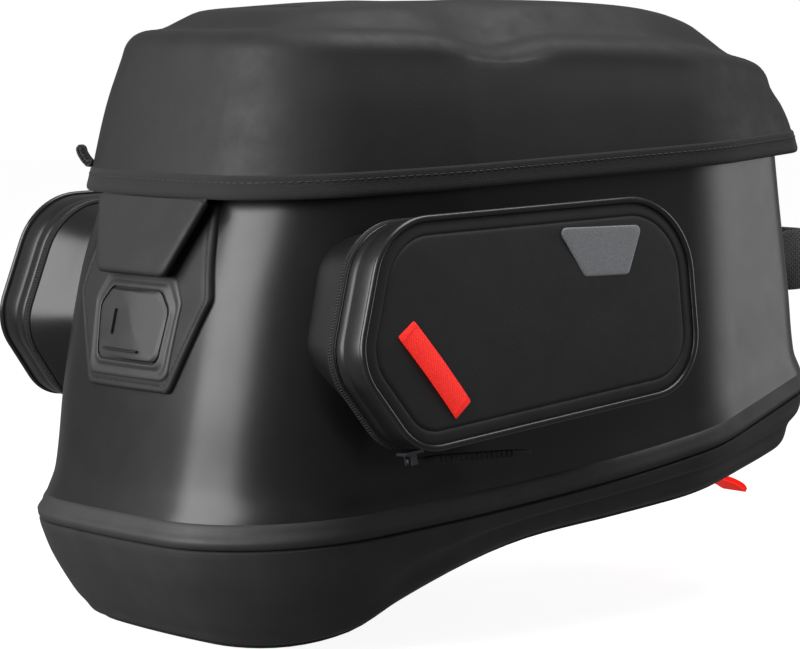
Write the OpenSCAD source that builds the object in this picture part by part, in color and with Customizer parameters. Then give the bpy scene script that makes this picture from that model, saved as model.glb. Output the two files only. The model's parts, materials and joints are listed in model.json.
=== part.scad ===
// Motorcycle tank bag: rigid-based hard-shell bag with a hinged lid, two side pockets and a tank-lock ring.
// Frame: origin at the centre of the lock ring's bore, in the plane of its underside. +Z up.
// -Y is the deep end with the closing tongue, +Y the end with the carry handle, +X the right side.

/* [Body] */
// Distance from the ring centre to the deep end of the welt
front_reach = 221; // [214:1:226]
// Distance from the ring centre to the handle end of the welt
rear_reach = 178; // [174:1:184]
// Width over the welt, the widest line of the body
body_width = 258; // [250:1:264]
// Wall thickness of the moulded shells
wall = 3.2; // [2.4:0.1:3.4]
// Height of the padded welt between the base and the upper body
welt_height = 12; // [10:1:13]

/* [Lid] */
// Height of the lid hem above the ring plane, at the ring centre
hem_height = 176.8; // [175:0.2:179]
// Rise of the hem towards the handle end, in mm per mm
hem_rise = 0.05; // [0.03:0.01:0.06]
// Height of the crown of the lid above the ring plane
crown_height = 267; // [262:1:272]
// Height of the stitched binding around the hem
hem_band = 10; // [8:1:11]

/* [Side pockets] */
// Distance from the centre plane to the zip line of a pocket, at the pocket's top
zip_plane = 138; // [137:0.5:140]
// Lean of the pocket, in degrees: its lower edge stands further out than its top
pocket_lean = 6; // [4:1:7]
// Depth of the pocket door, from the zip line to its face
door_depth = 23; // [20:1:26]
// Wall thickness of the pocket parts
pocket_wall = 2.6; // [2:0.1:3]

/* [Tank lock] */
// Radius of the bore that takes the tank's lock flange
ring_bore = 58; // [57:0.5:59]
// Outer radius of the lock ring
ring_outer = 72; // [71:0.5:74]
// Height of the lock ring
ring_height = 8; // [8:0.5:9]
// Travel of the latch slider when the strap is pulled
latch_travel = 10; // [8:1:10]

/* [Handle] */
// Height of the handle band
handle_height = 34; // [28:1:36]
// How far the handle stands out from the ring centre
handle_reach = 216; // [210:1:220]

/* [Hidden] */
$fn = 64;

// Colours
anthracite = [0.10, 0.10, 0.11];
satin_black = [0.06, 0.06, 0.065];
deep_black = [0.03, 0.03, 0.03];
signal_red = [0.80, 0.07, 0.06];
reflect_grey = [0.62, 0.64, 0.66];
steel = [0.60, 0.60, 0.62];

// Plan outline: how finely corners and straights are divided
ARC_STEPS = 5;
LINE_STEPS = 5;
// Where the sides turn towards the two ends, and how gently
TURN_FRONT = -95;
TURN_REAR = 80;
TURN_RADIUS = 110;

// Side lines: [y, z] points of smooth curves along the bag
UNDER_LINE = [[-240, -58], [-185, -58], [-150, -50], [-120, -35.5], [-84, -21.5], [-40, -10.5],
    [20, -3.5], [75, 3.5], [128, 12.5], [180, 24]];
WELT_LINE = [[-240, -8], [-190, -5], [-118, 2], [0, 16], [70, 28], [115, 39], [180, 56]];
EDGE_DROP = [[-240, 17], [-140, 17], [-60, 19], [50, 22], [95, 26.5], [130, 30.5], [180, 37]];
CROWN_DROP = [[-240, 8], [-129, 4], [-65, 1], [1, 0], [60, 2], [100, 6], [145, 13], [180, 21]];

half = body_width / 2;
nose_half = half - 9;
tail_half = half - 32;
FLOOR_Z = ring_height;
FLOOR_R = 86;
FLOOR_Y = 6;

// A level of the body: [front y, rear y, half-widths at nose, middle and tail, corner radii, bow of the ends]
function level(front_in, rear_in, nose_in, mid_in, tail_in, nose_r, tail_r, bow) = [
    -front_reach + front_in, rear_reach - rear_in, nose_half - nose_in, half - mid_in, tail_half - tail_in,
    nose_r, tail_r, bow];
BOTTOM = level(26, 10, 13, 13, 9, 66, 26, 8);
FLANK = level(18, 7, 9, 10, 6, 68, 27, 8);
WELT = level(0, 0, 0, 0, 0, 74, 30, 9);
BAND = level(2, 1, 1, 1, 1, 74, 30, 9);
LEDGE = level(4, 2, 3, 3, 2, 72, 29, 9);
HIP = level(9, 5, 7, 6.5, 4.5, 68, 28, 9);
WAIST = level(16, 9, 12, 8, 6, 60, 27, 9);
CHEST = level(27, 15, 19, 10, 7.5, 54, 26, 9);
NECK = level(40, 18, 25, 13.5, 9, 50, 25, 9);
RIM = level(43, 19, 26, 15, 9, 50, 25, 9);
HEM = level(32, 9, 20, 3, 3, 60, 26, 9);
LID_LOW = level(33, 10, 21, 4, 4, 60, 26, 9);
LID_HIGH = level(46, 17, 34, 19, 15, 54, 24, 8);

// Shares of the upper body's height at which its levels lie
BODY_LEVELS = [LEDGE, HIP, WAIST, CHEST, NECK, RIM];
BODY_SHARES = [0, 0.08, 0.36, 0.70, 0.93, 1];

// Smooth interpolation through [position, value] points
function slope_at(p, k) = k == 0 ? (p[1][1] - p[0][1]) / (p[1][0] - p[0][0])
    : k == len(p) - 1 ? (p[k][1] - p[k - 1][1]) / (p[k][0] - p[k - 1][0])
    : (p[k + 1][1] - p[k - 1][1]) / (p[k + 1][0] - p[k - 1][0]);
function piece_of(p, t, k = 0) = k >= len(p) - 2 || t < p[k + 1][0] ? k : piece_of(p, t, k + 1);
function curve(p, t0) =
    let (t = min(max(t0, p[0][0]), p[len(p) - 1][0]))
    let (k = piece_of(p, t))
    let (h = p[k + 1][0] - p[k][0])
    let (u = (t - p[k][0]) / h)
    let (a = slope_at(p, k) * h)
    let (b = slope_at(p, k + 1) * h)
    (2 * u * u * u - 3 * u * u + 1) * p[k][1] + (u * u * u - 2 * u * u + u) * a
    + (3 * u * u - 2 * u * u * u) * p[k + 1][1] + (u * u * u - u * u) * b;
function smooth(s) = let (c = min(max(s, 0), 1)) c * c * (3 - 2 * c);
function mix(a, b, s) = a * (1 - s) + b * s;

function under(y) = curve(UNDER_LINE, y);
function welt(y) = curve(WELT_LINE, y);
function ledge(y) = welt(y) + welt_height - 3 * (y + 230) / 410 + 1;
function hem(y) = hem_height + y * hem_rise;
function rim(y) = hem(y) + hem_band;
function lid_edge(y) = crown_height - curve(EDGE_DROP, y);
function lid_crown(y) = crown_height - curve(CROWN_DROP, y);

// Corner of a rounded polygon, as points on its arc
function corner(p, a, b, r, steps) =
    let (u = (a - p) / norm(a - p))
    let (w = (b - p) / norm(b - p))
    let (half_angle = acos(u * w) / 2)
    let (c = p + (u + w) / norm(u + w) * r / sin(half_angle))
    let (s = p + u * r / tan(half_angle) - c)
    let (e = p + w * r / tan(half_angle) - c)
    let (from = atan2(s[1], s[0]))
    let (turn = (atan2(e[1], e[0]) - from + 540) % 360 - 180)
    [for (k = [0 : steps]) c + r * [cos(from + turn * k / steps), sin(from + turn * k / steps)]];
function rounded(v, r, arc_steps, line_steps) =
    let (n = len(v))
    let (arcs = [for (i = [0 : n - 1]) corner(v[i], v[(i + n - 1) % n], v[(i + 1) % n], r[i], arc_steps)])
    [for (i = [0 : n - 1]) each concat(arcs[i],
        [for (k = [1 : 1 : line_steps - 1]) mix(arcs[i][arc_steps], arcs[(i + 1) % n][0], k / line_steps)])];

// Plan outline of a level, grown by a distance (negative shrinks it), as points round the bag
function plan(lv, grow = 0) =
    let (yf = lv[0] - grow)
    let (yb = lv[1] + grow)
    let (wf = lv[2] + grow)
    let (wm = lv[3] + grow)
    let (wb = lv[4] + grow)
    let (rf = max(lv[5] + grow, 8))
    let (rb = max(lv[6] + grow, 8))
    let (right = [[wf, yf], [wm, TURN_FRONT], [wm + 0.01, TURN_REAR], [wb, yb]])
    let (left = [for (i = [3 : -1 : 0]) [-right[i][0], right[i][1]]])
    let (turn = TURN_RADIUS)
    let (flat = rounded(concat(right, left), [rf, turn, turn, rb, rb, turn, turn, rf], ARC_STEPS, LINE_STEPS))
    [for (p = flat) [p[0], p[1]
        - lv[7] * max(0, 1 - pow(p[0] / wf, 2)) * smooth((TURN_FRONT - p[1]) / (TURN_FRONT - yf))
        + lv[7] / 2 * max(0, 1 - pow(p[0] / wb, 2)) * smooth((p[1] - TURN_REAR) / (yb - TURN_REAR))]];
function ring(lv, grow, height) = [for (p = plan(lv, grow)) [p[0], p[1], height(p[1])]];

// Solids from rings of points. A tube is a closed loop of rings, a cup is capped at both ends
module strip_solid(rings, looped, start_z, end_z) {
    n = len(rings[0]);
    m = len(rings);
    points = concat([for (r = rings) each r], looped ? [] : [centre_of(rings[0], start_z), centre_of(rings[m - 1], end_z)]);
    steps = looped ? m : m - 1;
    sides = [for (j = [0 : steps - 1], i = [0 : n - 1])
        let (a = j * n + i)
        let (b = j * n + (i + 1) % n)
        let (c = ((j + 1) % m) * n + (i + 1) % n)
        let (d = ((j + 1) % m) * n + i)
        each [[a, c, b], [a, d, c]]];
    caps = looped ? [] : [for (i = [0 : n - 1]) each
        [[m * n, i, (i + 1) % n], [m * n + 1, (m - 1) * n + (i + 1) % n, (m - 1) * n + i]]];
    polyhedron(points, concat(sides, caps));
}
function mean(v, k, i = 0, sum = 0) = i == len(v) ? sum / len(v) : mean(v, k, i + 1, sum + v[i][k]);
function centre_of(r, z) = [mean(r, 0), mean(r, 1), z];
module tube(rings) strip_solid(rings, true, 0, 0);
module cup(rings, start_z, end_z) strip_solid(rings, false, start_z, end_z);

// A curved slab between two grids of points, front and back
module slab(front, back) {
    rows = len(front);
    cols = len(front[0]);
    count = rows * cols;
    points = concat([for (r = front) each r], [for (r = back) each r]);
    skins = [for (j = [0 : rows - 2], i = [0 : cols - 2])
        let (a = j * cols + i)
        each [[a, a + 1, a + cols + 1], [a, a + cols + 1, a + cols],
            [count + a, count + a + cols + 1, count + a + 1], [count + a, count + a + cols, count + a + cols + 1]]];
    ends = [for (i = [0 : cols - 2]) each
        [[i, count + i, count + i + 1], [i, count + i + 1, i + 1],
        [count - cols + i, count - cols + i + 1, 2 * count - cols + i + 1],
        [count - cols + i, 2 * count - cols + i + 1, 2 * count - cols + i]]];
    edges = [for (j = [0 : rows - 2])
        let (a = j * cols)
        let (b = a + cols - 1)
        each [[a, a + cols, count + a + cols], [a, count + a + cols, count + a],
            [b, count + b, count + b + cols], [b, count + b + cols, b + cols]]];
    polyhedron(points, concat(skins, ends, edges));
}

// The outer surface of the upper body, so that what is sewn to it can follow it
BODY_PLANS = [for (lv = BODY_LEVELS) plan(lv)];
function side_reach(p, y) = max([for (i = [0 : len(p) - 1])
    let (a = p[i])
    let (b = p[(i + 1) % len(p)])
    (a[1] - y) * (b[1] - y) <= 0 && a[1] != b[1] ? mix(a[0], b[0], (y - a[1]) / (b[1] - a[1])) : 0]);
function end_reach(p, x, dir) = max([for (i = [0 : len(p) - 1])
    let (a = p[i])
    let (b = p[(i + 1) % len(p)])
    (a[0] - x) * (b[0] - x) <= 0 && a[0] != b[0] ? dir * mix(a[1], b[1], (x - a[0]) / (b[0] - a[0])) : 0]);
function share(y, z) = (z - ledge(y)) / (rim(y) - ledge(y));
function step_of(s, k = 0) = k >= len(BODY_SHARES) - 2 || s < BODY_SHARES[k + 1] ? k : step_of(s, k + 1);
function body_side(y, z) =
    let (s = share(y, z))
    let (k = step_of(s))
    mix(side_reach(BODY_PLANS[k], y), side_reach(BODY_PLANS[k + 1], y),
        (s - BODY_SHARES[k]) / (BODY_SHARES[k + 1] - BODY_SHARES[k]));
function end_near(x, z, dir, y) =
    let (s = share(y, z))
    let (k = step_of(s))
    dir * mix(end_reach(BODY_PLANS[k], x, dir), end_reach(BODY_PLANS[k + 1], x, dir),
        (s - BODY_SHARES[k]) / (BODY_SHARES[k + 1] - BODY_SHARES[k]));
function body_end(x, z, dir) = end_near(x, z, dir, end_near(x, z, dir, dir > 0 ? rear_reach : -front_reach));

// ---- Base ----
function disc_ring(r, z) = [for (p = plan(BOTTOM))
    let (a = atan2(p[1] - FLOOR_Y, p[0]))
    [r * cos(a), FLOOR_Y + r * sin(a), z]];
function base_skin(grow, lift) = [
    disc_ring(FLOOR_R, FLOOR_Z + lift),
    ring(BOTTOM, -22 + grow, function(y) under(y) + 3.5 + lift),
    ring(BOTTOM, -6 + grow, function(y) under(y) + lift),
    ring(BOTTOM, grow, function(y) under(y) + 3 + lift * 0.7),
    ring(FLANK, grow, function(y) under(y) + 12),
    ring(mix(FLANK, WELT, 0.6), grow, function(y) mix(under(y), welt(y), 0.62)),
    ring(WELT, grow - 1, function(y) welt(y) - 4),
    ring(WELT, grow, function(y) welt(y))];

module base_shell() color(anthracite) difference() {
    base_walls();
    screw_places() translate([0, 0, -1]) cylinder(r = screw_r + 0.2, h = 20);
}
module base_walls() {
    outer = base_skin(0, 0);
    inner = base_skin(-wall, wall);
    all = concat(outer, [for (i = [len(inner) - 1 : -1 : 0]) inner[i]]);
    cup(all, FLOOR_Z, FLOOR_Z + wall);
}

module foot_ring() color(deep_black) tube([
    ring(BOTTOM, -7, function(y) under(y) - 0.1),
    ring(BOTTOM, -9, function(y) under(y) - 2.4),
    ring(BOTTOM, -18, function(y) under(y) + 0.2),
    ring(BOTTOM, -20, function(y) under(y) + 2.8)]);

module body_welt() color(anthracite) tube([
    ring(WELT, -0.3, function(y) welt(y) + 0.1),
    ring(WELT, 0, function(y) mix(welt(y), ledge(y), 0.3)),
    ring(BAND, 0, function(y) mix(welt(y), ledge(y), 0.75)),
    ring(LEDGE, 0, function(y) ledge(y) - 0.1),
    ring(LEDGE, -wall, function(y) ledge(y) - 0.1),
    ring(WELT, -wall, function(y) welt(y) + 0.1)]);

// ---- Upper body ----
function body_ring(k, grow) = ring(BODY_LEVELS[k], grow,
    function(y) mix(ledge(y), rim(y), BODY_SHARES[k]));
module main_shell() color(satin_black) tube(concat(
    [for (k = [0 : 5]) body_ring(k, 0)],
    [for (k = [5 : -1 : 0]) body_ring(k, -wall)]));

module rim_binding() color(deep_black) tube([
    ring(RIM, 0.6, function(y) rim(y) - 2),
    ring(RIM, 1.4, function(y) rim(y) - 2),
    ring(RIM, 0.9, function(y) rim(y) + 1.4),
    ring(RIM, -wall - 1.2, function(y) rim(y) + 1.4),
    ring(RIM, -wall - 1.2, function(y) rim(y) - 5),
    ring(RIM, -wall - 0.2, function(y) rim(y) - 5),
    ring(RIM, -wall - 0.05, function(y) rim(y) + 0.1),
    ring(RIM, 0.05, function(y) rim(y) + 0.1)]);

module main_zip_tape() color(deep_black) tube([
    ring(NECK, 0.15, function(y) hem(y) + 1),
    ring(NECK, 1.2, function(y) hem(y) + 1),
    ring(NECK, 0.8, function(y) hem(y) + 6.5),
    ring(NECK, -0.3, function(y) hem(y) + 6.5)]);

LINER = 1.2;
LINER_GAP = 0.6;
function liner_skin(grow) = [
    ring(FLANK, grow, function(y) under(y) + 14),
    ring(mix(FLANK, WELT, 0.6), grow, function(y) mix(under(y), welt(y), 0.66)),
    ring(WELT, grow, function(y) welt(y) - 1),
    ring(LEDGE, grow, function(y) ledge(y)),
    for (k = [1 : 4]) body_ring(k, grow)];
module inner_liner() {
    out = liner_skin(-wall - LINER_GAP);
    in = liner_skin(-wall - LINER_GAP - LINER);
    color(signal_red) tube(concat(out, [for (i = [len(in) - 1 : -1 : 0]) in[i]]));
}

// ---- Tank lock ----
screw_r = 2.5;
screw_circle = 65;
head_r = 4.4;
head_height = 2.6;
plate_height = 3;
plate_z = FLOOR_Z + wall;
module screw_places() for (a = [45 : 90 : 315]) rotate(a) translate([screw_circle, 0, 0]) children();

slider_width = 24;
slider_z = 5.4;
slider_height = 2;
slide_gap = 0.3;
tooth_y = ring_bore + slide_gap;
cross_half = 19;
cross_y = ring_outer + 3.6;
cross_depth = 3;
spring_r = 1.1;
spring_wire = 0.35;
SPRING_TURNS = 6;
spring_length = SPRING_TURNS * 2 * spring_wire;
housing_wall = 2;
housing_half = 24;
housing_end = cross_y + cross_depth + latch_travel + spring_length + 4 * slide_gap + housing_wall;
strap_width = 20;
strap_thick = 2;

module mount_ring() color(satin_black) difference() {
    cylinder(r = ring_outer, h = ring_height, $fn = 128);
    translate([0, 0, -1]) cylinder(r = ring_bore, h = ring_height + 2, $fn = 128);
    screw_places() translate([0, 0, -1]) cylinder(r = screw_r + 0.1, h = ring_height + 2);
    screw_places() translate([0, 0, -1]) cylinder(r = head_r + 0.3, h = head_height + 1.4);
    translate([-slider_width / 2 - slide_gap, ring_bore - 4, slider_z - slide_gap])
        cube([slider_width + 2 * slide_gap, ring_outer - ring_bore + 8, ring_height]);
}
module ring_plate() color(steel) difference() {
    translate([0, 0, plate_z]) cylinder(r = ring_outer, h = plate_height, $fn = 128);
    translate([0, 0, plate_z - 1]) cylinder(r = ring_bore - 6, h = plate_height + 2, $fn = 128);
    screw_places() translate([0, 0, plate_z - 1]) cylinder(r = screw_r + 0.05, h = plate_height + 2);
}
module ring_screws() color(steel) screw_places() {
    translate([0, 0, 0.3]) difference() {
        cylinder(r = head_r, h = head_height);
        translate([0, 0, -0.5]) cylinder(r = 1.7, h = 1.8, $fn = 6);
    }
    translate([0, 0, head_height]) cylinder(r = screw_r, h = plate_z + plate_height - head_height);
}
module latch_housing() color(satin_black) difference() {
    translate([-housing_half, 60, 0.6]) cube([2 * housing_half, housing_end - 60, ring_height - 0.6 - 0.02]);
    translate([0, 0, -1]) cylinder(r = ring_outer + 0.05, h = ring_height + 2, $fn = 128);
    translate([-slider_width / 2 - slide_gap, 60, slider_z - slide_gap])
        cube([slider_width + 2 * slide_gap, housing_end - 60 + 5, ring_height]);
    translate([-cross_half - 1, cross_y - 1.6, 2])
        cube([2 * cross_half + 2, housing_end - housing_wall - cross_y + 1.6, ring_height]);
}
module latch_slider() color(deep_black) union() {
    translate([-slider_width / 2, tooth_y, slider_z])
        cube([slider_width, cross_y + cross_depth - tooth_y, slider_height]);
    translate([-cross_half, cross_y, slider_z]) cube([2 * cross_half, cross_depth, slider_height]);
}
module latch_springs() color(steel) for (s = [-1, 1])
    translate([s * (cross_half - 4), housing_end - housing_wall - slide_gap, slider_z + slider_height / 2])
        rotate([90, 0, 0])
            for (k = [0 : SPRING_TURNS - 1]) translate([0, 0, (2 * k + 1) * spring_wire])
                rotate_extrude($fn = 32) translate([spring_r, 0]) circle(r = spring_wire + 0.02, $fn = 16);

// Strap route in the centre plane: level through the housing, then drooping beyond the handle end
STRAP_LINE = [[79, 6.4], [96, 6.2], [120, 2.5], [150, -1.5], [176, -4.5], [196, -9], [207, -13], [213, -16.5]];
module release_strap() color(signal_red)
    translate([-strap_width / 2, 0, 0]) rotate([90, 0, 90]) linear_extrude(strap_width)
        polygon(concat([for (p = STRAP_LINE) p + [0, strap_thick / 2]],
            [for (i = [len(STRAP_LINE) - 1 : -1 : 0]) STRAP_LINE[i] - [0, strap_thick / 2]]));

// ---- Deep end: patch, badge and snap ----
patch_thick = 3.2;
// Gap behind a sewn-on piece, so that it clears the facets of the shell
sewn_gap = 0.6;
// Half-width of the shield-shaped patch at a height
PATCH_TOP = 164;
PATCH_KNEE = 116;
PATCH_FOOT = 68;
TOP_HALF = 46;
KNEE_HALF = 60;
FOOT_HALF = 37;
function patch_half(z) = z > PATCH_KNEE
    ? mix(KNEE_HALF, TOP_HALF, (z - PATCH_KNEE) / (PATCH_TOP - PATCH_KNEE))
    : mix(FOOT_HALF, KNEE_HALF, (z - PATCH_FOOT) / (PATCH_KNEE - PATCH_FOOT));
PATCH_ROWS = [PATCH_FOOT, 80, 92, 104, PATCH_KNEE, 128, 137, 146, 155, PATCH_TOP];
function patch_grid(out) = [for (z = PATCH_ROWS) [for (k = [-6 : 6])
    let (x = patch_half(z) * k / 6)
    [x, body_end(x, z, -1) - out, z]]];
module front_patch() color(anthracite) slab(patch_grid(patch_thick), patch_grid(sewn_gap));

// Badge plane: tilted with the face of the deep end
BADGE_Z = 100;
badge_tilt = atan((body_end(0, 80, -1) - body_end(0, 120, -1)) / 40);
badge_y = body_end(0, BADGE_Z, -1) - patch_thick - 0.1;
module on_badge() translate([0, badge_y, BADGE_Z]) rotate([badge_tilt + 90, 0, 0]) children();
function badge_outline(grow) = rounded([[-27 - grow, -17 - grow], [27 + grow, -17 - grow],
    [31 + grow, 9 + grow / 2], [22 + grow, 18 + grow], [-22 - grow, 18 + grow], [-31 - grow, 9 + grow / 2]],
    [6, 6, 7, 7, 7, 7], 4, 1);
module badge_frame() color(satin_black) on_badge() linear_extrude(1.4) difference() {
    polygon(badge_outline(9));
    polygon(badge_outline(2));
}
module badge_plate() color(anthracite) on_badge() difference() {
    linear_extrude(2.6) polygon(badge_outline(0));
    translate([-22, -13.5, 1.6]) cube([34, 3, 3]);
    translate([-17, -6, 1.6]) cube([3, 16, 3]);
}

// Tongue plane
tongue_tilt = -19;
tongue_thick = 4;
tongue_top = [-196.7, 164.3];
tongue_drop = 41;
module on_tongue() translate([0, tongue_top[0], tongue_top[1]]) rotate([90 + tongue_tilt, 0, 0]) children();
module tongue() color(satin_black) on_tongue() linear_extrude(tongue_thick)
    polygon(rounded([[-50, -0.4], [50, -0.4], [31, -tongue_drop], [-31, -tongue_drop]], [1, 1, 7, 7], 6, 1));
snap_r = 9;
snap_drop = 24;
snap_thick = 0.9;
module tongue_magnet() color(steel) on_tongue()
    translate([0, -snap_drop, -snap_thick]) cylinder(r = snap_r, h = snap_thick);
module snap_plate() color(steel) on_tongue()
    translate([0, -snap_drop, -snap_thick - 1.3]) cylinder(r = snap_r, h = 0.8);

// ---- Handle end ----
handle_z = 121;
handle_band = 5;
handle_root = 178;
anchor_half = 9;
anchor_x = 62;
function anchor_grid(out, s) = [for (j = [-4 : 4]) [for (k = [-3 : 3])
    let (x = s * anchor_x + k / 3 * anchor_half)
    let (z = handle_z + j / 4 * 22)
    [x, body_end(x, z, 1) + out, z]]];
module handle_anchors() color(deep_black) for (s = [-1, 1]) slab(anchor_grid(sewn_gap, s), anchor_grid(3, s));
module handle_plan(inset) polygon(rounded([[68 - inset, handle_root - 20], [55 - inset, handle_reach - inset],
    [-55 + inset, handle_reach - inset], [-68 + inset, handle_root - 20]], [1, 22 - inset, 22 - inset, 1], 8, 1));
module carry_handle() color(deep_black) intersection() {
    translate([0, 0, handle_z - handle_height / 2]) linear_extrude(handle_height) difference() {
        handle_plan(0);
        handle_plan(handle_band);
    }
    translate([-90, 0, handle_z]) rotate([90, 0, 90]) linear_extrude(180) polygon([
        [handle_root, -4], [handle_root + 18, -handle_height / 2], [handle_reach + 2, -handle_height / 2],
        [handle_reach + 2, handle_height / 2], [handle_root + 18, handle_height / 2], [handle_root, 4]]);
}
function hinge_grid(out) = [for (z = [150 : 7 : 178]) [for (k = [-6 : 6])
    let (x = k * 10)
    [x, body_end(x, z, 1) + out, z]]];
module hinge_strip() color(deep_black) slab(hinge_grid(sewn_gap), hinge_grid(1.8));

// ---- Lid ----
// Finger scoops in the shoulders of the lid, and a dip behind the crown
SCOOP_Y = -56;
SCOOP_DEEP = 7;
function scoop(x, y) = SCOOP_DEEP * exp(-pow((y - SCOOP_Y) / 24, 2)) * smooth((abs(x) - 40) / 35);
function lid_ring(lv, grow, height, lift = 0) = [for (p = plan(lv, grow))
    [p[0], p[1], height(p[1]) - scoop(p[0], p[1]) + lift]];
function lid_skin(grow, lift) = [
    ring(HEM, grow, function(y) hem(y)),
    ring(LID_LOW, grow, function(y) hem(y) + 11),
    ring(mix(LID_LOW, LID_HIGH, 0.5), grow, function(y) mix(hem(y) + 11, lid_edge(y) - 13, 0.55)),
    ring(LID_HIGH, grow, function(y) lid_edge(y) - 13),
    lid_ring(LID_HIGH, grow - 2.5, function(y) lid_edge(y) - 6, lift * 0.3),
    lid_ring(LID_HIGH, grow - 7.5, function(y) lid_edge(y) - 1.5, lift * 0.7),
    lid_ring(LID_HIGH, grow - 15, function(y) lid_edge(y) + 1.5, lift),
    lid_ring(LID_HIGH, grow - 26, function(y) mix(lid_edge(y), lid_crown(y), 0.5), lift),
    ring(LID_HIGH, grow - 40, function(y) lid_crown(y) - 1.5 + lift),
    ring(LID_HIGH, grow - 60, function(y) lid_crown(y) + lift)];
module lid_shell() {
    outer = lid_skin(0, 0);
    inner = lid_skin(-wall, -wall);
    rings = concat([for (i = [len(inner) - 1 : -1 : 0]) inner[i]], outer);
    color(satin_black) cup(rings, crown_height - wall, crown_height);
}
module lid_binding() color(deep_black) tube([
    ring(HEM, 0.15, function(y) hem(y) - 0.2),
    ring(HEM, 1.4, function(y) hem(y) - 0.2),
    ring(LID_LOW, 1.2, function(y) hem(y) + hem_band),
    ring(LID_LOW, 0.15, function(y) hem(y) + hem_band)]);
module lid_zip_tape() color(deep_black) tube([
    ring(HEM, -wall - 1.1, function(y) hem(y) + 1),
    ring(HEM, -wall - 0.15, function(y) hem(y) + 1),
    ring(LID_LOW, -wall - 0.15, function(y) hem(y) + 7),
    ring(LID_LOW, -wall - 1.1, function(y) hem(y) + 7)]);
// Webbing tab at the left front corner of the hem, folded upward; its profile counts out from the lid
tab_base = [-86, -181.6];
tab_angle = 222;
tab_width = 10;
module lid_pull_tab() color(deep_black) translate([tab_base[0], tab_base[1], hem(tab_base[1]) + 10.6])
    rotate(tab_angle) rotate([90, 0, 0]) translate([0, 0, -tab_width / 2]) linear_extrude(tab_width)
        polygon([[0, 0], [2.5, 0], [7, 7.5], [6, 10.5], [-2, 9.5]]);

// ---- Side pockets, drawn on the right ----
// Outline in the leaning plane of the zip, as [y, z] points; x counts outward from that plane
POCKET_POINTS = [[-159.5, 44], [-192, 87.5], [-171, 156], [22, 164], [24, 66]];
POCKET_RADII = [26, 30, 36, 38, 32];
POCKET_TOP = 165;
function leaning(x, y, z) = [zip_plane + x * cos(pocket_lean) + (POCKET_TOP - z) * sin(pocket_lean), y,
    POCKET_TOP + x * sin(pocket_lean) - (POCKET_TOP - z) * cos(pocket_lean)];
module on_pocket() translate([zip_plane, 0, POCKET_TOP]) rotate([0, -pocket_lean, 0])
    translate([0, 0, -POCKET_TOP]) children();
function pocket_outline(grow) = rounded_offset(POCKET_POINTS, POCKET_RADII, grow);
// A rounded polygon grown evenly: the arcs keep their centres and change their radii
function rounded_offset(v, r, grow) =
    let (n = len(v))
    let (moved = [for (i = [0 : n - 1])
        let (p = v[i])
        let (u = (v[(i + n - 1) % n] - p) / norm(v[(i + n - 1) % n] - p))
        let (w = (v[(i + 1) % n] - p) / norm(v[(i + 1) % n] - p))
        p - (u + w) / norm(u + w) * grow / sin(acos(u * w) / 2)])
    rounded(moved, [for (i = r) i + grow], 9, 5);
module along_x(from, to) on_pocket() translate([from, 0, 0]) rotate([90, 0, 90]) linear_extrude(to - from)
    children();
function pocket_ring(grow, x) = [for (p = pocket_outline(grow)) leaning(x, p[0], p[1])];
// The foot on the body lies further back towards the bottom, so that the gusset spreads forward
FOOT_SHIFT = 0.08;
foot_gap = 0.8;
function pocket_foot(grow) = [for (p = pocket_outline(grow))
    let (y = p[0] + FOOT_SHIFT * (POCKET_TOP - p[1]))
    [body_side(y, p[1]) + foot_gap, y, p[1]]];
base_edge = -0.3;
module pocket_base() color(anthracite) tube([
    pocket_ring(0, base_edge),
    pocket_ring(-pocket_wall, base_edge),
    pocket_ring(-pocket_wall - 2, base_edge - 6),
    pocket_foot(-12),
    pocket_foot(-8.5),
    pocket_ring(-2, base_edge - 6)]);
module pocket_zip() color(deep_black) along_x(base_edge - 5, base_edge - 0.6) difference() {
    polygon(pocket_outline(1.3));
    polygon(pocket_outline(0.1));
}
door_from = 0.3;
door_to = door_depth;
module pocket_door() color(anthracite) difference() {
    along_x(door_from, door_to) polygon(pocket_outline(0));
    along_x(door_from - 1, door_to - pocket_wall) polygon(pocket_outline(-pocket_wall));
}
module pocket_piping() color(satin_black) along_x(door_to - 1.6, door_to + 1.2) difference() {
    polygon(pocket_outline(1.2));
    polygon(pocket_outline(0.05));
}
FACE_GAP = 0.05;
module pocket_loop() color(signal_red) along_x(door_to + FACE_GAP, door_to + 1.6)
    polygon([[-168.3, 96.7], [-165.2, 105.8], [-158.8, 107.4], [-125.2, 63.4], [-137.3, 61.8]]);
module pocket_reflector() color(reflect_grey) along_x(door_to + FACE_GAP, door_to + 0.8)
    polygon(rounded([[-64.7, 149.6], [-9.3, 149.6], [-20.5, 124.7], [-49.4, 124.7]], [3, 3, 3, 3], 4, 1));

// The slider runs round the lower front corner of the zip, about the centre of that corner's arc
corner_u = (POCKET_POINTS[4] - POCKET_POINTS[0]) / norm(POCKET_POINTS[4] - POCKET_POINTS[0]);
corner_w = (POCKET_POINTS[1] - POCKET_POINTS[0]) / norm(POCKET_POINTS[1] - POCKET_POINTS[0]);
corner_centre = POCKET_POINTS[0]
    + (corner_u + corner_w) / norm(corner_u + corner_w) * POCKET_RADII[0] / sin(acos(corner_u * corner_w) / 2);
slope = atan2(corner_u[1], corner_u[0]);
slider_out = POCKET_RADII[0] + 1.9;
slider_in = 4.9;
module at_slider() on_pocket() translate([-slider_in, corner_centre[0], corner_centre[1]]) rotate([slope, 0, 0])
    translate([0, 0, -slider_out]) children();
pin_r = 0.9;
pin_drop = 5.2;
module zip_slider() color(steel) at_slider() difference() {
    union() {
        translate([-4, -5, -1.6]) cube([8, 11, 1.6]);
        for (s = [-1, 1]) translate([s * 2.6 - 0.6, -1.4, -pin_drop - 1.6]) cube([1.2, 3.4, pin_drop + 0.8]);
        translate([-2.7, 0.3, -pin_drop]) rotate([0, 90, 0]) cylinder(r = pin_r, h = 5.4, $fn = 24);
    }
}
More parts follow.
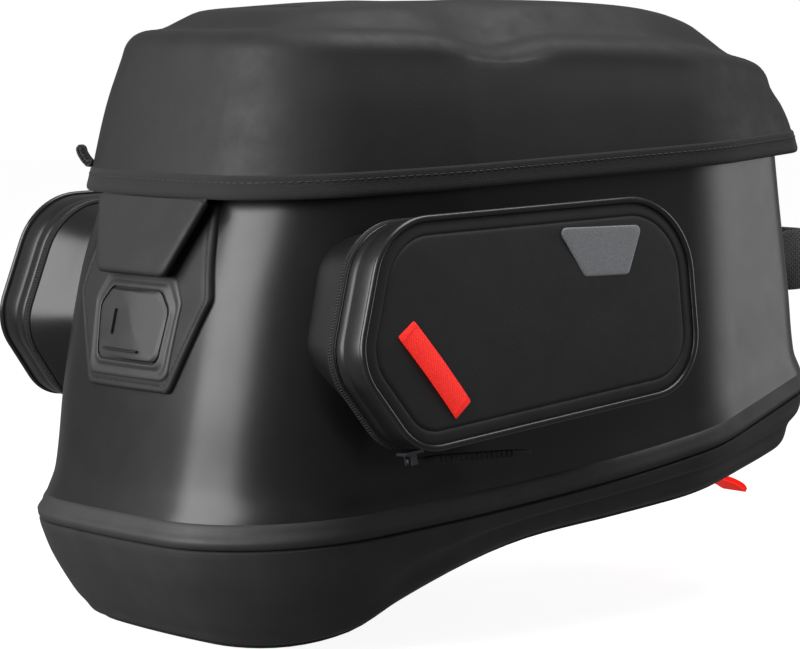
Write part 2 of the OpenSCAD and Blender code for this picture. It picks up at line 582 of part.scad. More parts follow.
puller_length = 76;
puller_head = 2.6;
puller_droop = 10;
module zip_puller() color(deep_black) at_slider() translate([-1.5, 0.3, -pin_drop])
    rotate([90, 0, 90]) rotate(-puller_droop) linear_extrude(3) difference() {
        polygon(concat([for (a = [90 : 15 : 270]) puller_head * [cos(a), sin(a)]], [[12, -3.1],
            [puller_length - 14, -2.6], [puller_length - 3, -1.6], [puller_length, 0.4],
            [puller_length - 12, 2.6], [12, 3.1]]));
        circle(r = pin_r + 0.06, $fn = 24);
    }
module left() mirror([1, 0, 0]) children();

base_shell();
foot_ring();
body_welt();
main_shell();
rim_binding();
main_zip_tape();
inner_liner();
mount_ring();
ring_plate();
ring_screws();
latch_housing();
latch_slider();
latch_springs();
release_strap();
front_patch();
badge_frame();
badge_plate();
snap_plate();
handle_anchors();
carry_handle();
hinge_strip();
lid_shell();
lid_binding();
lid_zip_tape();
lid_pull_tab();
tongue();
tongue_magnet();
pocket_base();  // pocket_base_right
pocket_zip();  // pocket_zip_right
pocket_door();  // pocket_door_right
pocket_piping();  // pocket_piping_right
pocket_loop();  // pocket_loop_right
pocket_reflector();  // pocket_reflector_right
zip_slider();  // zip_slider_right
zip_puller();  // zip_puller_right
left() pocket_base();  // pocket_base_left
left() pocket_zip();  // pocket_zip_left
left() pocket_door();  // pocket_door_left
left() pocket_piping();  // pocket_piping_left
left() pocket_loop();  // pocket_loop_left
left() pocket_reflector();  // pocket_reflector_left
left() zip_slider();  // zip_slider_left
left() zip_puller();  // zip_puller_left
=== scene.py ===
"""Looks of the tank bag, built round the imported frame. Lengths are in millimetres until a mesh is made."""
import json
import math

import bmesh
import bpy
import numpy as np
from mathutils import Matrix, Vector

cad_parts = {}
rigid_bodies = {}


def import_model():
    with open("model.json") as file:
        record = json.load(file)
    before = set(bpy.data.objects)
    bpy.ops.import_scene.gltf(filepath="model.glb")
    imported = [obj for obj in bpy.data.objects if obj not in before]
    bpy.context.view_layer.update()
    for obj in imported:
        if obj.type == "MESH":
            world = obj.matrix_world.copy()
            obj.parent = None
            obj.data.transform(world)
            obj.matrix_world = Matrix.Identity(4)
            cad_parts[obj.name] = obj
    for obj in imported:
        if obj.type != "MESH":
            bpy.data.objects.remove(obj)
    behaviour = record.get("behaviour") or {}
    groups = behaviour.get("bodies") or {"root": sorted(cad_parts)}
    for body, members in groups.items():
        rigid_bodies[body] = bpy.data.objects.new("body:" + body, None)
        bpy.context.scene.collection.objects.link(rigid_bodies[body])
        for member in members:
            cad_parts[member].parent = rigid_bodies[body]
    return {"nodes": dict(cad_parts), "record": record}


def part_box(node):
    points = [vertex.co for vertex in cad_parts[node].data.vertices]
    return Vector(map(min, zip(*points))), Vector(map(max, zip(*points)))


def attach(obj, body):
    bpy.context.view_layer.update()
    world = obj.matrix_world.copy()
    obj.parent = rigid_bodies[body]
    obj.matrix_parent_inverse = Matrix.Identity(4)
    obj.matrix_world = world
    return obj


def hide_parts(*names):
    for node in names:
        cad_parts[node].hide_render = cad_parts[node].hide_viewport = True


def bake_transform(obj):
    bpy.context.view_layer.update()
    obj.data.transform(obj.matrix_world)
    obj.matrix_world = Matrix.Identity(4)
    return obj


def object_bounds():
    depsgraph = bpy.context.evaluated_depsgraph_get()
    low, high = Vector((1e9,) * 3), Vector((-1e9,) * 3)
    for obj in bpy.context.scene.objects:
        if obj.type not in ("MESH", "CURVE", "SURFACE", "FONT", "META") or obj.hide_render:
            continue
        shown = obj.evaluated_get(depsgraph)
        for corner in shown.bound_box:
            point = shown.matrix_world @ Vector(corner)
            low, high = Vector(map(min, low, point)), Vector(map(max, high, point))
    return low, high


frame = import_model()
cad_low, cad_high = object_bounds()
NODES = frame["nodes"]
MM = 0.001


def new_object(name, data):
    """An object in the scene."""
    made = bpy.data.objects.new(name, data)
    bpy.context.scene.collection.objects.link(made)
    return made


def aimed(name, data, place, direction):
    """A camera or light at a place, looking in a direction."""
    made = new_object(name, data)
    made.location = place
    made.rotation_mode = "QUATERNION"
    made.rotation_quaternion = direction.to_track_quat("-Z", "Y")
    return made


# ---------------------------------------------------------------- camera
CAMERA_TARGET = Vector((0, -0.040, 0.092))
CAMERA_DISTANCE = 1.918
CAMERA_AZIMUTH = 53
CAMERA_ELEVATION = 4.7
CAMERA_LENS = 159.3


def around(azimuth, elevation, distance):
    """A place round the bag: 0 degrees is off its deep end, 90 off its right side."""
    a, e = math.radians(azimuth), math.radians(elevation)
    return Vector((math.sin(a) * math.cos(e), -math.cos(a) * math.cos(e), math.sin(e))) * distance


def make_camera():
    back = around(CAMERA_AZIMUTH, CAMERA_ELEVATION, 1.0)
    data = bpy.data.cameras.new("camera")
    data.lens = CAMERA_LENS
    data.sensor_width = 36
    camera = aimed("camera", data, CAMERA_TARGET + back * CAMERA_DISTANCE, -back)
    bpy.context.scene.camera = camera


make_camera()


# ---------------------------------------------------------------- sizes, from the frame
def span(node):
    """Lowest and highest corner of a CAD node, in millimetres."""
    low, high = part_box(node)
    return np.array(low) / MM, np.array(high) / MM


BOW = 9.0
WALL = 3.2
welt_low, welt_high = span("body_welt")
FRONT = -welt_low[1] - BOW
REAR = welt_high[1] - BOW / 2
HALF = welt_high[0]
CROWN = span("lid_shell")[1][2]
FLOOR_Z = span("mount_ring")[1][2]
JOINTS = {joint["name"]: joint for joint in frame["record"]["behaviour"]["joints"]}
HEM_RISE = 0.05
HEM_BAND = 10.0
HEM_HEIGHT = 176.8
WELT_HEIGHT = 12.0
ZIP_RISE = 2.4

TURN_FRONT = -95.0
TURN_REAR = 80.0
TURN_RADIUS = 110.0
ARC = 12
LINE = 12

# Side lines: [y, z] points of smooth curves along the bag, as in the CAD. The drops are below the crown.
UNDER_LINE = [[-240, -58], [-185, -58], [-150, -50], [-120, -35.5], [-84, -21.5], [-40, -10.5],
              [20, -3.5], [75, 3.5], [128, 12.5], [180, 24]]
WELT_LINE = [[-240, -8], [-190, -5], [-118, 2], [0, 16], [70, 28], [115, 39], [180, 56]]
EDGE_DROP = [[-240, 17], [-140, 17], [-60, 19], [50, 22], [95, 26.5], [130, 30.5], [180, 37]]
CROWN_DROP = [[-240, 8], [-129, 4], [-65, 1], [1, 0], [60, 2], [100, 6], [145, 13], [180, 21]]


def level(front_in, rear_in, nose_in, mid_in, tail_in, nose_r, tail_r, bow):
    """A plan level: ends, half-widths, corner radii and the bow of the two ends."""
    return np.array([-FRONT + front_in, REAR - rear_in, HALF - 9 - nose_in, HALF - mid_in,
                     HALF - 32 - tail_in, nose_r, tail_r, bow], float)


BOTTOM = level(26, 10, 13, 13, 9, 66, 26, 8)
FLANK = level(18, 7, 9, 10, 6, 68, 27, 8)
WELT = level(0, 0, 0, 0, 0, 74, 30, 9)
BAND = level(2, 1, 1, 1, 1, 74, 30, 9)
LEDGE = level(4, 2, 3, 3, 2, 72, 29, 9)
HIP = level(9, 5, 7, 6.5, 4.5, 68, 28, 9)
WAIST = level(16, 9, 12, 8, 6, 60, 27, 9)
CHEST = level(27, 15, 19, 10, 7.5, 54, 26, 9)
NECK = level(40, 18, 25, 13.5, 9, 50, 25, 9)
RIM = level(43, 19, 26, 15, 9, 50, 25, 9)
HEM = level(32, 9, 20, 3, 3, 60, 26, 9)
LID_LOW = level(33, 10, 21, 4, 4, 60, 26, 9)
LID_HIGH = level(46, 17, 34, 19, 15, 54, 24, 8)
BODY_LEVELS = [LEDGE, HIP, WAIST, CHEST, NECK, RIM]
BODY_SHARES = [0, 0.08, 0.36, 0.70, 0.93, 1]


def hermite(a, b, slope_a, slope_b, length, u):
    """Cubic from a to b, with a slope at each end; u runs from 0 to 1."""
    return ((2 * u**3 - 3 * u**2 + 1) * a + (u**3 - 2 * u**2 + u) * slope_a * length
            + (3 * u**2 - 2 * u**3) * b + (u**3 - u**2) * slope_b * length)


def curve(points, t):
    """Smooth curve through [position, value] points."""
    x, y = np.array(points, float).T
    t = np.clip(np.asarray(t, float), x[0], x[-1])
    k = np.clip(np.searchsorted(x, t, side="right") - 1, 0, len(x) - 2)
    slope = np.gradient(y, x)
    slope[1:-1] = (y[2:] - y[:-2]) / (x[2:] - x[:-2])
    h = x[k + 1] - x[k]
    return hermite(y[k], y[k + 1], slope[k], slope[k + 1], h, (t - x[k]) / h)


def smooth(s):
    s = np.clip(s, 0, 1)
    return s * s * (3 - 2 * s)


def mix(a, b, s):
    return a * (1 - s) + b * s


def under(y):
    return curve(UNDER_LINE, y)


def welt(y):
    return curve(WELT_LINE, y)


def ledge(y):
    return welt(y) + WELT_HEIGHT - 3 * (y + 230) / 410 + 1


def hem(y):
    return HEM_HEIGHT + y * HEM_RISE


def rim(y):
    return hem(y) + HEM_BAND


def lid_edge(y):
    return CROWN - curve(EDGE_DROP, y)


def lid_crown(y):
    return CROWN - curve(CROWN_DROP, y)


def unit(v):
    v = np.asarray(v, float)
    return v / np.maximum(np.linalg.norm(v, axis=-1, keepdims=True), 1e-12)


def rounded(points, radii, arc, line):
    """Closed outline with round corners: arc steps per corner, line steps per straight."""
    points = np.array(points, float)
    count = len(points)
    arcs = []
    for i in range(count):
        p = points[i]
        u = unit(points[i - 1] - p)
        w = unit(points[(i + 1) % count] - p)
        half = math.acos(np.clip(u @ w, -1, 1)) / 2
        centre = p + unit(u + w) * radii[i] / math.sin(half)
        s = p + u * radii[i] / math.tan(half) - centre
        e = p + w * radii[i] / math.tan(half) - centre
        start = math.atan2(s[1], s[0])
        turn = (math.atan2(e[1], e[0]) - start + 3 * math.pi) % (2 * math.pi) - math.pi
        a = start + turn * np.arange(arc + 1) / arc
        arcs.append(centre + radii[i] * np.c_[np.cos(a), np.sin(a)])
    parts = []
    for i in range(count):
        parts.append(arcs[i])
        k = np.arange(1, line)[:, None] / line
        parts.append(mix(arcs[i][-1], arcs[(i + 1) % count][0], k))
    return np.concatenate(parts)


def both_sides(right):
    """The corners of a right half, then their mirror images."""
    return right + [[-x, y] for x, y in right[::-1]]


def plan(lv, grow=0.0):
    """Plan outline of a level, grown by a distance."""
    yf, yb = lv[0] - grow, lv[1] + grow
    wf, wm, wb = lv[2:5] + grow
    rf, rb = max(lv[5] + grow, 8), max(lv[6] + grow, 8)
    right = [[wf, yf], [wm, TURN_FRONT], [wm + 0.01, TURN_REAR], [wb, yb]]
    turn = TURN_RADIUS
    p = rounded(both_sides(right), [rf, turn, turn, rb, rb, turn, turn, rf], ARC, LINE)
    x, y = p.T
    nose = np.maximum(0, 1 - (x / wf) ** 2) * smooth((TURN_FRONT - y) / (TURN_FRONT - yf))
    tail = np.maximum(0, 1 - (x / wb) ** 2) * smooth((y - TURN_REAR) / (yb - TURN_REAR))
    return np.c_[x, y - lv[7] * nose + lv[7] / 2 * tail]


def ring(lv, grow, height):
    """A level's outline in space; height is a function of y."""
    p = plan(lv, grow)
    return np.c_[p, height(p[:, 1])]


def course(line, steps):
    """Rings along a side line; each step is a level, its growth and its rise above the line."""
    return [ring(lv, grow, lambda y, rise=rise: line(y) + rise) for lv, grow, rise in steps]


def loft(keys, steps):
    """Rings through key rings, smooth from one to the next; steps is a number or one per gap."""
    keys = np.array(keys, float)
    steps = [steps] * (len(keys) - 1) if isinstance(steps, int) else steps
    gap = np.linalg.norm(np.diff(keys, axis=0), axis=2).mean(1)
    t = np.concatenate([[0], np.cumsum(gap)])
    tangent = np.empty_like(keys)
    tangent[1:-1] = (keys[2:] - keys[:-2]) / (t[2:] - t[:-2])[:, None, None]
    tangent[0] = (keys[1] - keys[0]) / gap[0]
    tangent[-1] = (keys[-1] - keys[-2]) / gap[-1]
    rings = [keys[0]]
    for k, count in enumerate(steps):
        for u in np.arange(1, count + 1) / count:
            rings.append(hermite(keys[k], keys[k + 1], tangent[k], tangent[k + 1], gap[k], u))
    return rings


# ---------------------------------------------------------------- mesh helpers
def make_object(name, verts, faces, material, uvs=None, face_slots=None, sharp=40):
    """A mesh object from points in millimetres. material is one material or a list of them."""
    mesh = bpy.data.meshes.new(name)
    mesh.from_pydata((np.asarray(verts, float) * MM).tolist(), [], [list(map(int, f)) for f in faces])
    if uvs is not None:
        layer = mesh.uv_layers.new(name="metric")
        flat = np.concatenate([np.asarray(u, float) for u in uvs])
        layer.data.foreach_set("uv", (flat * MM).astype(np.float32).ravel())
    for m in material if isinstance(material, list) else [material]:
        mesh.materials.append(m)
    if face_slots is not None:
        mesh.polygons.foreach_set("material_index", np.asarray(face_slots, np.int32))
    made = new_object(name, mesh)
    work = bmesh.new()
    work.from_mesh(mesh)
    bmesh.ops.remove_doubles(work, verts=work.verts, dist=1e-6)
    bmesh.ops.dissolve_degenerate(work, edges=work.edges, dist=1e-7)
    bmesh.ops.recalc_face_normals(work, faces=work.faces)
    work.to_mesh(mesh)
    work.free()
    mesh.polygons.foreach_set("use_smooth", np.ones(len(mesh.polygons), bool))
    mesh.set_sharp_from_angle(angle=math.radians(sharp))
    mesh.update()
    return made


def skin(name, rings, material, closed=False, cap=(False, False), slots=None, sharp=40):
    """A surface over rings of points. closed joins the last ring to the first; a cap closes an end.
    Its UVs are lengths along and across the rings. slots gives the material number of each row."""
    rings = [np.asarray(r, float) for r in rings]
    n = len(rings[0])
    m = len(rings)
    verts = np.concatenate(rings)
    sample = rings[m // 2]
    steps = np.linalg.norm(np.diff(sample, axis=0, append=sample[:1]), axis=1)
    around = np.concatenate([[0], np.cumsum(steps)])
    across = [0.0]
    for a, b in zip(rings, rings[1:] + rings[:1]):
        across.append(across[-1] + float(np.linalg.norm(b - a, axis=1).mean()))
    rows = m if closed else m - 1
    faces, uvs, numbers = [], [], []
    for j in range(rows):
        k = (j + 1) % m
        low, high = across[j], across[j + 1]
        for i in range(n):
            h = (i + 1) % n
            faces.append((j * n + i, j * n + h, k * n + h, k * n + i))
            left, right = around[i], around[i + 1]
            uvs.append([(left, low), (right, low), (right, high), (left, high)])
            numbers.append(slots[j] if slots is not None else 0)
    for wanted, j in zip(cap, (0, m - 1)):
        if wanted:
            faces.append(tuple(range(j * n, (j + 1) * n)))
            uvs.append([(p[0], p[1]) for p in rings[j]])
            numbers.append(slots[min(j, rows - 1)] if slots is not None else 0)
    return make_object(name, verts, faces, material, uvs, numbers, sharp)


def tube(name, path, radius, material, reference, closed=True, sides=10, flat=1.0):
    """A round or flattened cord along a path; reference is a direction square to most of it."""
    path = np.asarray(path, float)
    along = unit(np.roll(path, -1, 0) - np.roll(path, 1, 0)) if closed else unit(np.gradient(path, axis=0))
    side = unit(np.cross(along, reference))
    over = unit(np.cross(side, along))
    a = 2 * math.pi * np.arange(sides) / sides
    rings = [p + radius * (np.cos(a)[:, None] * s * flat + np.sin(a)[:, None] * o)
             for p, s, o in zip(path, side, over)]
    return skin(name, rings, material, closed=closed, cap=(not closed, not closed))


def measured(path, closed):
    """A path, closed if wanted, with the length up to each of its points."""
    path = np.asarray(path, float)
    if closed:
        path = np.vstack([path, path[:1]])
    return path, np.concatenate([[0], np.cumsum(np.linalg.norm(np.diff(path, axis=0), axis=1))])


def read_off(values, length, at):
    return np.c_[[np.interp(at, length, values[:, k]) for k in range(3)]].T


def spaced(total, count, closed):
    return np.arange(count) * total / count if closed else np.linspace(0, total, count)


def resample(path, pitch, closed=True):
    """Points and directions evenly spaced along a path."""
    path, length = measured(path, closed)
    total = length[-1]
    at = spaced(total, max(2, int(round(total / pitch))), closed)
    ahead = read_off(path, length, np.minimum(at + 0.5, total))
    behind = read_off(path, length, np.maximum(at - 0.5, 0))
    return read_off(path, length, at), unit(ahead - behind)


def beads(name, path, outward, material, pitch, long, wide, high, closed=True, lean=0.0):
    """A row of small rounded pieces along a path, such as stitches or zip teeth."""
    points, along = resample(path, pitch, closed)
    outward = np.broadcast_to(np.asarray(outward, float), points.shape) if np.ndim(outward) == 1 \
        else resample_values(path, outward, len(points), closed)
    side = unit(np.cross(along, outward))
    up = unit(np.cross(side, along))
    along = unit(along + lean * side)
    side = unit(np.cross(along, up))
    sections = [(-0.5, 0.25), (-0.38, 0.8), (0, 1.0), (0.38, 0.8), (0.5, 0.25)]
    a = 2 * math.pi * np.arange(6) / 6
    verts, faces = [], []
    for p, t, s, o in zip(points, along, side, up):
        base = len(verts)
        for x, grow in sections:
            for angle in a:
                verts.append(p + t * x * long + s * math.cos(angle) * wide / 2 * grow
                             + o * math.sin(angle) * high / 2 * grow)
        for j in range(len(sections) - 1):
            for i in range(6):
                h = (i + 1) % 6
                row = base + j * 6
                faces.append((row + i, row + h, row + 6 + h, row + 6 + i))
        faces.append(tuple(base + i for i in range(6)))
        faces.append(tuple(base + 24 + i for i in range(6)))
    return make_object(name, verts, faces, material)


def resample_values(path, values, count, closed):
    """Vectors given at a path's points, read off at evenly spaced places."""
    path, length = measured(path, closed)
    values = np.asarray(values, float)
    if closed:
        values = np.vstack([values, values[:1]])
    return unit(read_off(values, length, spaced(length[-1], count, closed)))


def drawn_in(points, share):
    """An outline drawn in towards its own middle."""
    middle = points.mean(0)
    return middle + (points - middle) * share


def panel(name, outline, profile, place, material, fill=8, sharp=40):
    """A flat panel. outline(grow) gives its edge, profile its (grow, height) steps from the back to
    the front, and place(points, height) puts it in space. Inside its first and last step it is filled."""
    edge = [place(outline(grow), height) for grow, height in profile]
    shares = np.linspace(1, 0.04, fill)[1:]
    front = [place(drawn_in(outline(profile[-1][0]), s), profile[-1][1]) for s in shares]
    back = [place(drawn_in(outline(profile[0][0]), s), profile[0][1]) for s in shares[::-1]]
    return skin(name, back + edge + front, material, cap=(True, True), sharp=sharp)


def strap(name, path, width, thick, material, across, rows=2.0, edge=0.5):
    """Webbing along a path of points; across is the direction of its width, one or one per point."""
    points, along = resample(path, rows, closed=False)
    across = resample_values(path, across, len(points), False) if np.ndim(across) == 2 \
        else np.broadcast_to(unit(across), points.shape)
    normal = unit(np.cross(along, across))
    h, t = width / 2, thick / 2
    section = [(-h + edge, -t), (0, -t), (h - edge, -t), (h, -t * 0.4), (h, t * 0.4), (h - edge, t), (0, t),
               (-h + edge, t), (-h, t * 0.4), (-h, -t * 0.4)]
    section = np.array(section)
    rings = [p + section[:, :1] * c + section[:, 1:] * o for p, c, o in zip(points, across, normal)]
    return skin(name, rings, material, cap=(True, True), sharp=50)


def cloth(name, rows, offset):
    """A strip of binding cloth over rows of points; offset leads to its other face."""
    return skin(name, [np.vstack([r, (r + offset)[::-1]]) for r in rows], BINDING, cap=(True, True))


def folding(piece):
    """Bakes a strip of cloth's placement into its mesh; it is not joined to any body."""
    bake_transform(piece)


def mirrored(points):
    """The same points on the other side of the centre plane."""
    points = np.array(points, float)
    points[..., 0] *= -1
    return points


def join(name, pieces):
    """Several objects made one, under a name."""
    for o in bpy.context.view_layer.objects:
        o.select_set(False)
    for o in pieces:
        o.select_set(True)
    bpy.context.view_layer.objects.active = pieces[0]
    bpy.ops.object.join()
    pieces[0].name = name
    pieces[0].data.name = name
    return pieces[0]


def fit(piece, body, slot, *replaced):
    """Rides a piece on its body and hides the CAD nodes it stands for; slot is not used."""
    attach(piece, body)
    if replaced:
        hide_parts(*replaced)
    return piece


# ---------------------------------------------------------------- materials
class Shader:
    """A principled material under construction."""

    def __init__(self, name, colour, rough, metallic=0.0, ior=1.45):
        self.material = bpy.data.materials.new(name)
        self.material.use_nodes = True
        self.nodes = self.material.node_tree.nodes
        self.links = self.material.node_tree.links
        self.bsdf = self.nodes["Principled BSDF"]
        self.colour, self.rough, self.height = colour, rough, None
        self.put(self.bsdf, Base_Color=(*colour, 1), Roughness=rough, Metallic=metallic, IOR=ior)
        self.place = self.nodes.new("ShaderNodeTexCoord")
        self.material.diffuse_color = (*colour, 1)

    def put(self, node, **inputs):
        for key, value in inputs.items():
            self.feed(node.inputs[key.replace("_", " ")], value)
        return node

    def node(self, kind, **inputs):
        return self.put(self.nodes.new(kind), **inputs)

    def feed(self, socket, value):
        """Links an output to a socket, or sets the socket to a constant."""
        if hasattr(value, "is_output"):
            self.links.new(value, socket)
        else:
            socket.default_value = value

    def maths(self, operation, a, b=0.0):
        made = self.nodes.new("ShaderNodeMath")
        made.operation = operation
        self.feed(made.inputs[0], a)
        self.feed(made.inputs[1], b)
        return made.outputs[0]

    def noise(self, scale, detail=3.0, rough=0.55, stretch=(1, 1, 1), source="Object"):
        mapping = self.node("ShaderNodeMapping", Vector=self.place.outputs[source], Scale=stretch)
        return self.node("ShaderNodeTexNoise", Vector=mapping.outputs[0], Scale=scale, Detail=detail,
                         Roughness=rough).outputs["Fac"]

    def cells(self, scale):
        made = self.node("ShaderNodeTexVoronoi", Vector=self.place.outputs["Object"], Scale=scale)
        return made.outputs["Distance"]

    def add_height(self, value, amount):
        scaled = self.maths("MULTIPLY", value, amount)
        self.height = scaled if self.height is None else self.maths("ADD", self.height, scaled)

    def woven(self, pitch_u, pitch_v):
        """Height of a plain weave in metric UVs, from 0 to 1."""
        split = self.node("ShaderNodeSeparateXYZ", Vector=self.place.outputs["UV"])
        u, v = (self.maths("DIVIDE", split.outputs[k], pitch * MM)
                for k, pitch in enumerate((pitch_u, pitch_v)))
        odd = self.maths("MODULO", self.maths("ADD", self.maths("FLOOR", u), self.maths("FLOOR", v)), 2.0)
        odd = self.maths("ABSOLUTE", odd)
        over, across = (self.maths("ABSOLUTE", self.maths("SINE", self.maths("MULTIPLY", w, math.pi)))
                        for w in (u, v))
        rest = self.maths("SUBTRACT", 1.0, odd)
        return self.maths("ADD", self.maths("MULTIPLY", over, odd), self.maths("MULTIPLY", across, rest))

    def tint(self, factor, low, high):
        """Base colour runs between low and high times its value with factor."""
        ramp = self.node("ShaderNodeValToRGB", Fac=factor)
        for stop, at, times in zip(ramp.color_ramp.elements, (0.25, 0.75), (low, high)):
            stop.position = at
            stop.color = (*[c * times for c in self.colour], 1)
        self.put(self.bsdf, Base_Color=ramp.outputs[0])

    def roughen(self, factor, spread):
        made = self.node("ShaderNodeMapRange", Value=factor, From_Min=0.3, From_Max=0.7,
                         To_Min=max(self.rough - spread, 0.02), To_Max=min(self.rough + spread, 1.0))
        self.put(self.bsdf, Roughness=made.outputs[0])

    def finish(self, depth=1.0, strength=1.0, **sockets):
        """Turns the gathered height, in millimetres, into a bump and sets constant sockets."""
        if self.height is not None:
            bump = self.node("ShaderNodeBump", Strength=strength, Distance=depth * MM, Height=self.height)
            self.put(self.bsdf, Normal=bump.outputs[0])
        self.put(self.bsdf, **sockets)
        return self.material


def grained(name, colour, rough, cell=900, depth=0.05, wave=0.0, ior=1.45, spread=0.06, **sockets):
    """Moulded or coated skin with a pebbled grain and soft unevenness."""
    s = Shader(name, colour, rough, ior=ior)
    s.add_height(s.cells(cell), 0.7)
    s.add_height(s.noise(cell * 1.7, 2.0), 0.5)
    if wave:
        s.add_height(s.noise(14, 1.0), wave)
    s.tint(s.noise(45, 5.0), 0.82, 1.2)
    s.roughen(s.noise(70, 4.0, 0.65), spread)
    return s.finish(depth, **sockets)


def fabric(name, colour, rough, pitch_u, pitch_v, depth=0.22, spread=0.3, **sockets):
    """Woven fabric or webbing, on metric UVs."""
    s = Shader(name, colour, rough)
    weave = s.woven(pitch_u, pitch_v)
    s.add_height(weave, 1.0)
    s.add_height(s.noise(2600, 2.0), 0.25)
    # Colour is darker in the weave's grooves, which is painted shade between the threads, plus random tone
    # from the noise.
    weave_shade_and_tone = s.maths("ADD", s.maths("MULTIPLY", weave, 0.6), s.maths("MULTIPLY", s.noise(220, 3.0), 0.5))
    s.tint(weave_shade_and_tone, 1 - spread, 1 + spread)
    return s.finish(depth, **sockets)


def metal(name, colour, rough, stretch=(1, 1, 40)):
    """Brushed metal."""
    s = Shader(name, colour, rough, metallic=1.0)
    s.add_height(s.noise(240, 2.0, stretch=stretch), 1.0)
    s.tint(s.noise(90, 3.0), 0.85, 1.1)
    s.roughen(s.noise(300, 3.0, stretch=stretch), 0.1)
    return s.finish(0.02)


LID_SKIN = grained("lid_skin", (0.0095, 0.0095, 0.0100), 0.60, cell=1100, depth=0.045, wave=0.2,
                   Specular_IOR_Level=0.36)
BODY_SKIN = grained("body_skin", (0.006, 0.006, 0.0065), 0.33, cell=1700, depth=0.010, wave=0.5, spread=0.02)
BASE_SKIN = grained("base_skin", (0.0185, 0.0185, 0.0192), 0.60, cell=1300, depth=0.05, wave=0.2)
PANEL_SKIN = grained("panel_skin", (0.0125, 0.0125, 0.0137), 0.66, cell=1600, depth=0.05)
PATCH_SKIN = grained("patch_skin", (0.0115, 0.0115, 0.0120), 0.60, cell=1400, depth=0.045,
                     Specular_IOR_Level=0.36)
BADGE_SKIN = grained("badge_skin", (0.019, 0.019, 0.020), 0.48, cell=1800, depth=0.02)
PIPING = grained("piping_skin", (0.014, 0.014, 0.015), 0.24, cell=2200, depth=0.01)
RUBBER = grained("rubber", (0.006, 0.006, 0.006), 0.66, cell=1200, depth=0.06)
NYLON = grained("ring_nylon", (0.014, 0.014, 0.015), 0.48, cell=1500, depth=0.04)
BINDING = fabric("binding_cloth", (0.0055, 0.0055, 0.0060), 0.85, 0.9, 0.9, depth=0.10, Sheen_Weight=0.05)
ZIP_TAPE = fabric("zip_tape_cloth", (0.006, 0.006, 0.006), 0.85, 0.6, 0.6, depth=0.08)
LINING = fabric("lining_cloth", (0.42, 0.020, 0.014), 0.85, 0.7, 0.7, Sheen_Weight=0.3)
BLACK_WEBBING = fabric("black_webbing", (0.005, 0.005, 0.0055), 0.75, 1.3, 1.9, depth=0.35,
                       Sheen_Weight=0.15)
# The red webbing has an emission of its own: a painted glow that brightens it beyond what the lamps give.
RED_WEBBING_PAINTED_GLOW = fabric("red_webbing", (0.90, 0.020, 0.014), 0.75, 0.8, 1.1, depth=0.22, spread=0.18,
                     Emission_Color=(1.0, 0.03, 0.02, 1), Emission_Strength=0.42)
THREAD = fabric("thread", (0.024, 0.024, 0.026), 0.6, 0.3, 0.3, depth=0.05)
ZIP_TEETH = grained("zip_teeth", (0.006, 0.006, 0.006), 0.5, cell=2500, depth=0.01)
STEEL = metal("brushed_steel", (0.55, 0.55, 0.57), 0.32)
ZIP_METAL = metal("zip_metal", (0.11, 0.11, 0.12), 0.34)


def reflective():
    """Grey retro-reflective film: a fine honeycomb of beads."""
    s = Shader("reflective_film", (0.26, 0.27, 0.285), 0.45, metallic=0.3)
    s.add_height(s.cells(1500), 1.0)
    s.tint(s.cells(1500), 1.15, 0.85)
    return s.finish(0.05)


REFLECTIVE = reflective()


# ---------------------------------------------------------------- surfaces of the body
def body_keys(grow):
    """Key rings of the upper body, from the ledge up to the rim."""
    keys = []
    for lv, share in zip(BODY_LEVELS, BODY_SHARES):
        keys.append(ring(lv, grow, lambda y, s=share: mix(ledge(y), rim(y), s)))
    return keys


OUTER_BODY = loft(body_keys(0), [4, 10, 10, 8, 4])
END_FROM = 110


def read_body(face, along, out, at, z):
    """Reads one axis (out) of a face of the upper body at places along another axis and at heights z.
    face(ring) picks the ring's points that lie on the face."""
    rows = [r[face(r)] for r in OUTER_BODY]
    rows = [r[np.argsort(r[:, along])] for r in rows]
    found = []
    for place, height in zip(at, z):
        heights = [np.interp(place, r[:, along], r[:, 2]) for r in rows]
        values = [np.interp(place, r[:, along], r[:, out]) for r in rows]
        found.append(np.interp(height, heights, values))
    return np.array(found)


def side_of_body(y, z):
    """Half-width of the upper body at points given by y and z."""
    return read_body(lambda r: r[:, 0] > 0, 1, 0, y, z)


def end_of_body(x, z, direction):
    """y of the upper body's front (-1) or rear (+1) face at points given by x and z."""
    return read_body(lambda r: r[:, 1] * direction > END_FROM, 0, 1, x, z)


def make_body():
    inner = loft(body_keys(-WALL), [2, 4, 4, 3, 2])
    foot = course(ledge, [(LEDGE, 0.2, -1.2), (LEDGE, -WALL, -1.2)])
    rings = foot[:1] + OUTER_BODY + inner[::-1] + foot[1:]
    fit(skin("upper_body", rings, BODY_SKIN, closed=True, sharp=50), "bag", "body_tpu", "main_shell")


def make_welt():
    keys = course(ledge, [(LEDGE, -2.6, -0.3), (LEDGE, -0.4, 0.2)])
    for lv, grow, share in ((BAND, -0.6, 0.86), (BAND, 0.5, 0.62), (WELT, 0.6, 0.36), (WELT, 0.4, 0.16),
                            (WELT, -0.7, 0.03), (WELT, -2.6, 0.0)):
        keys.append(ring(lv, grow, lambda y, s=share: mix(welt(y), ledge(y), s)))
    fit(skin("welt", loft(keys, 3), BASE_SKIN, closed=True, sharp=60), "bag", "base_moulding", "body_welt")


def disc_ring(radius, z):
    centre_y = 6
    p = plan(BOTTOM)
    a = np.arctan2(p[:, 1] - centre_y, p[:, 0])
    return np.c_[radius * np.cos(a), centre_y + radius * np.sin(a), np.full(len(a), z)]


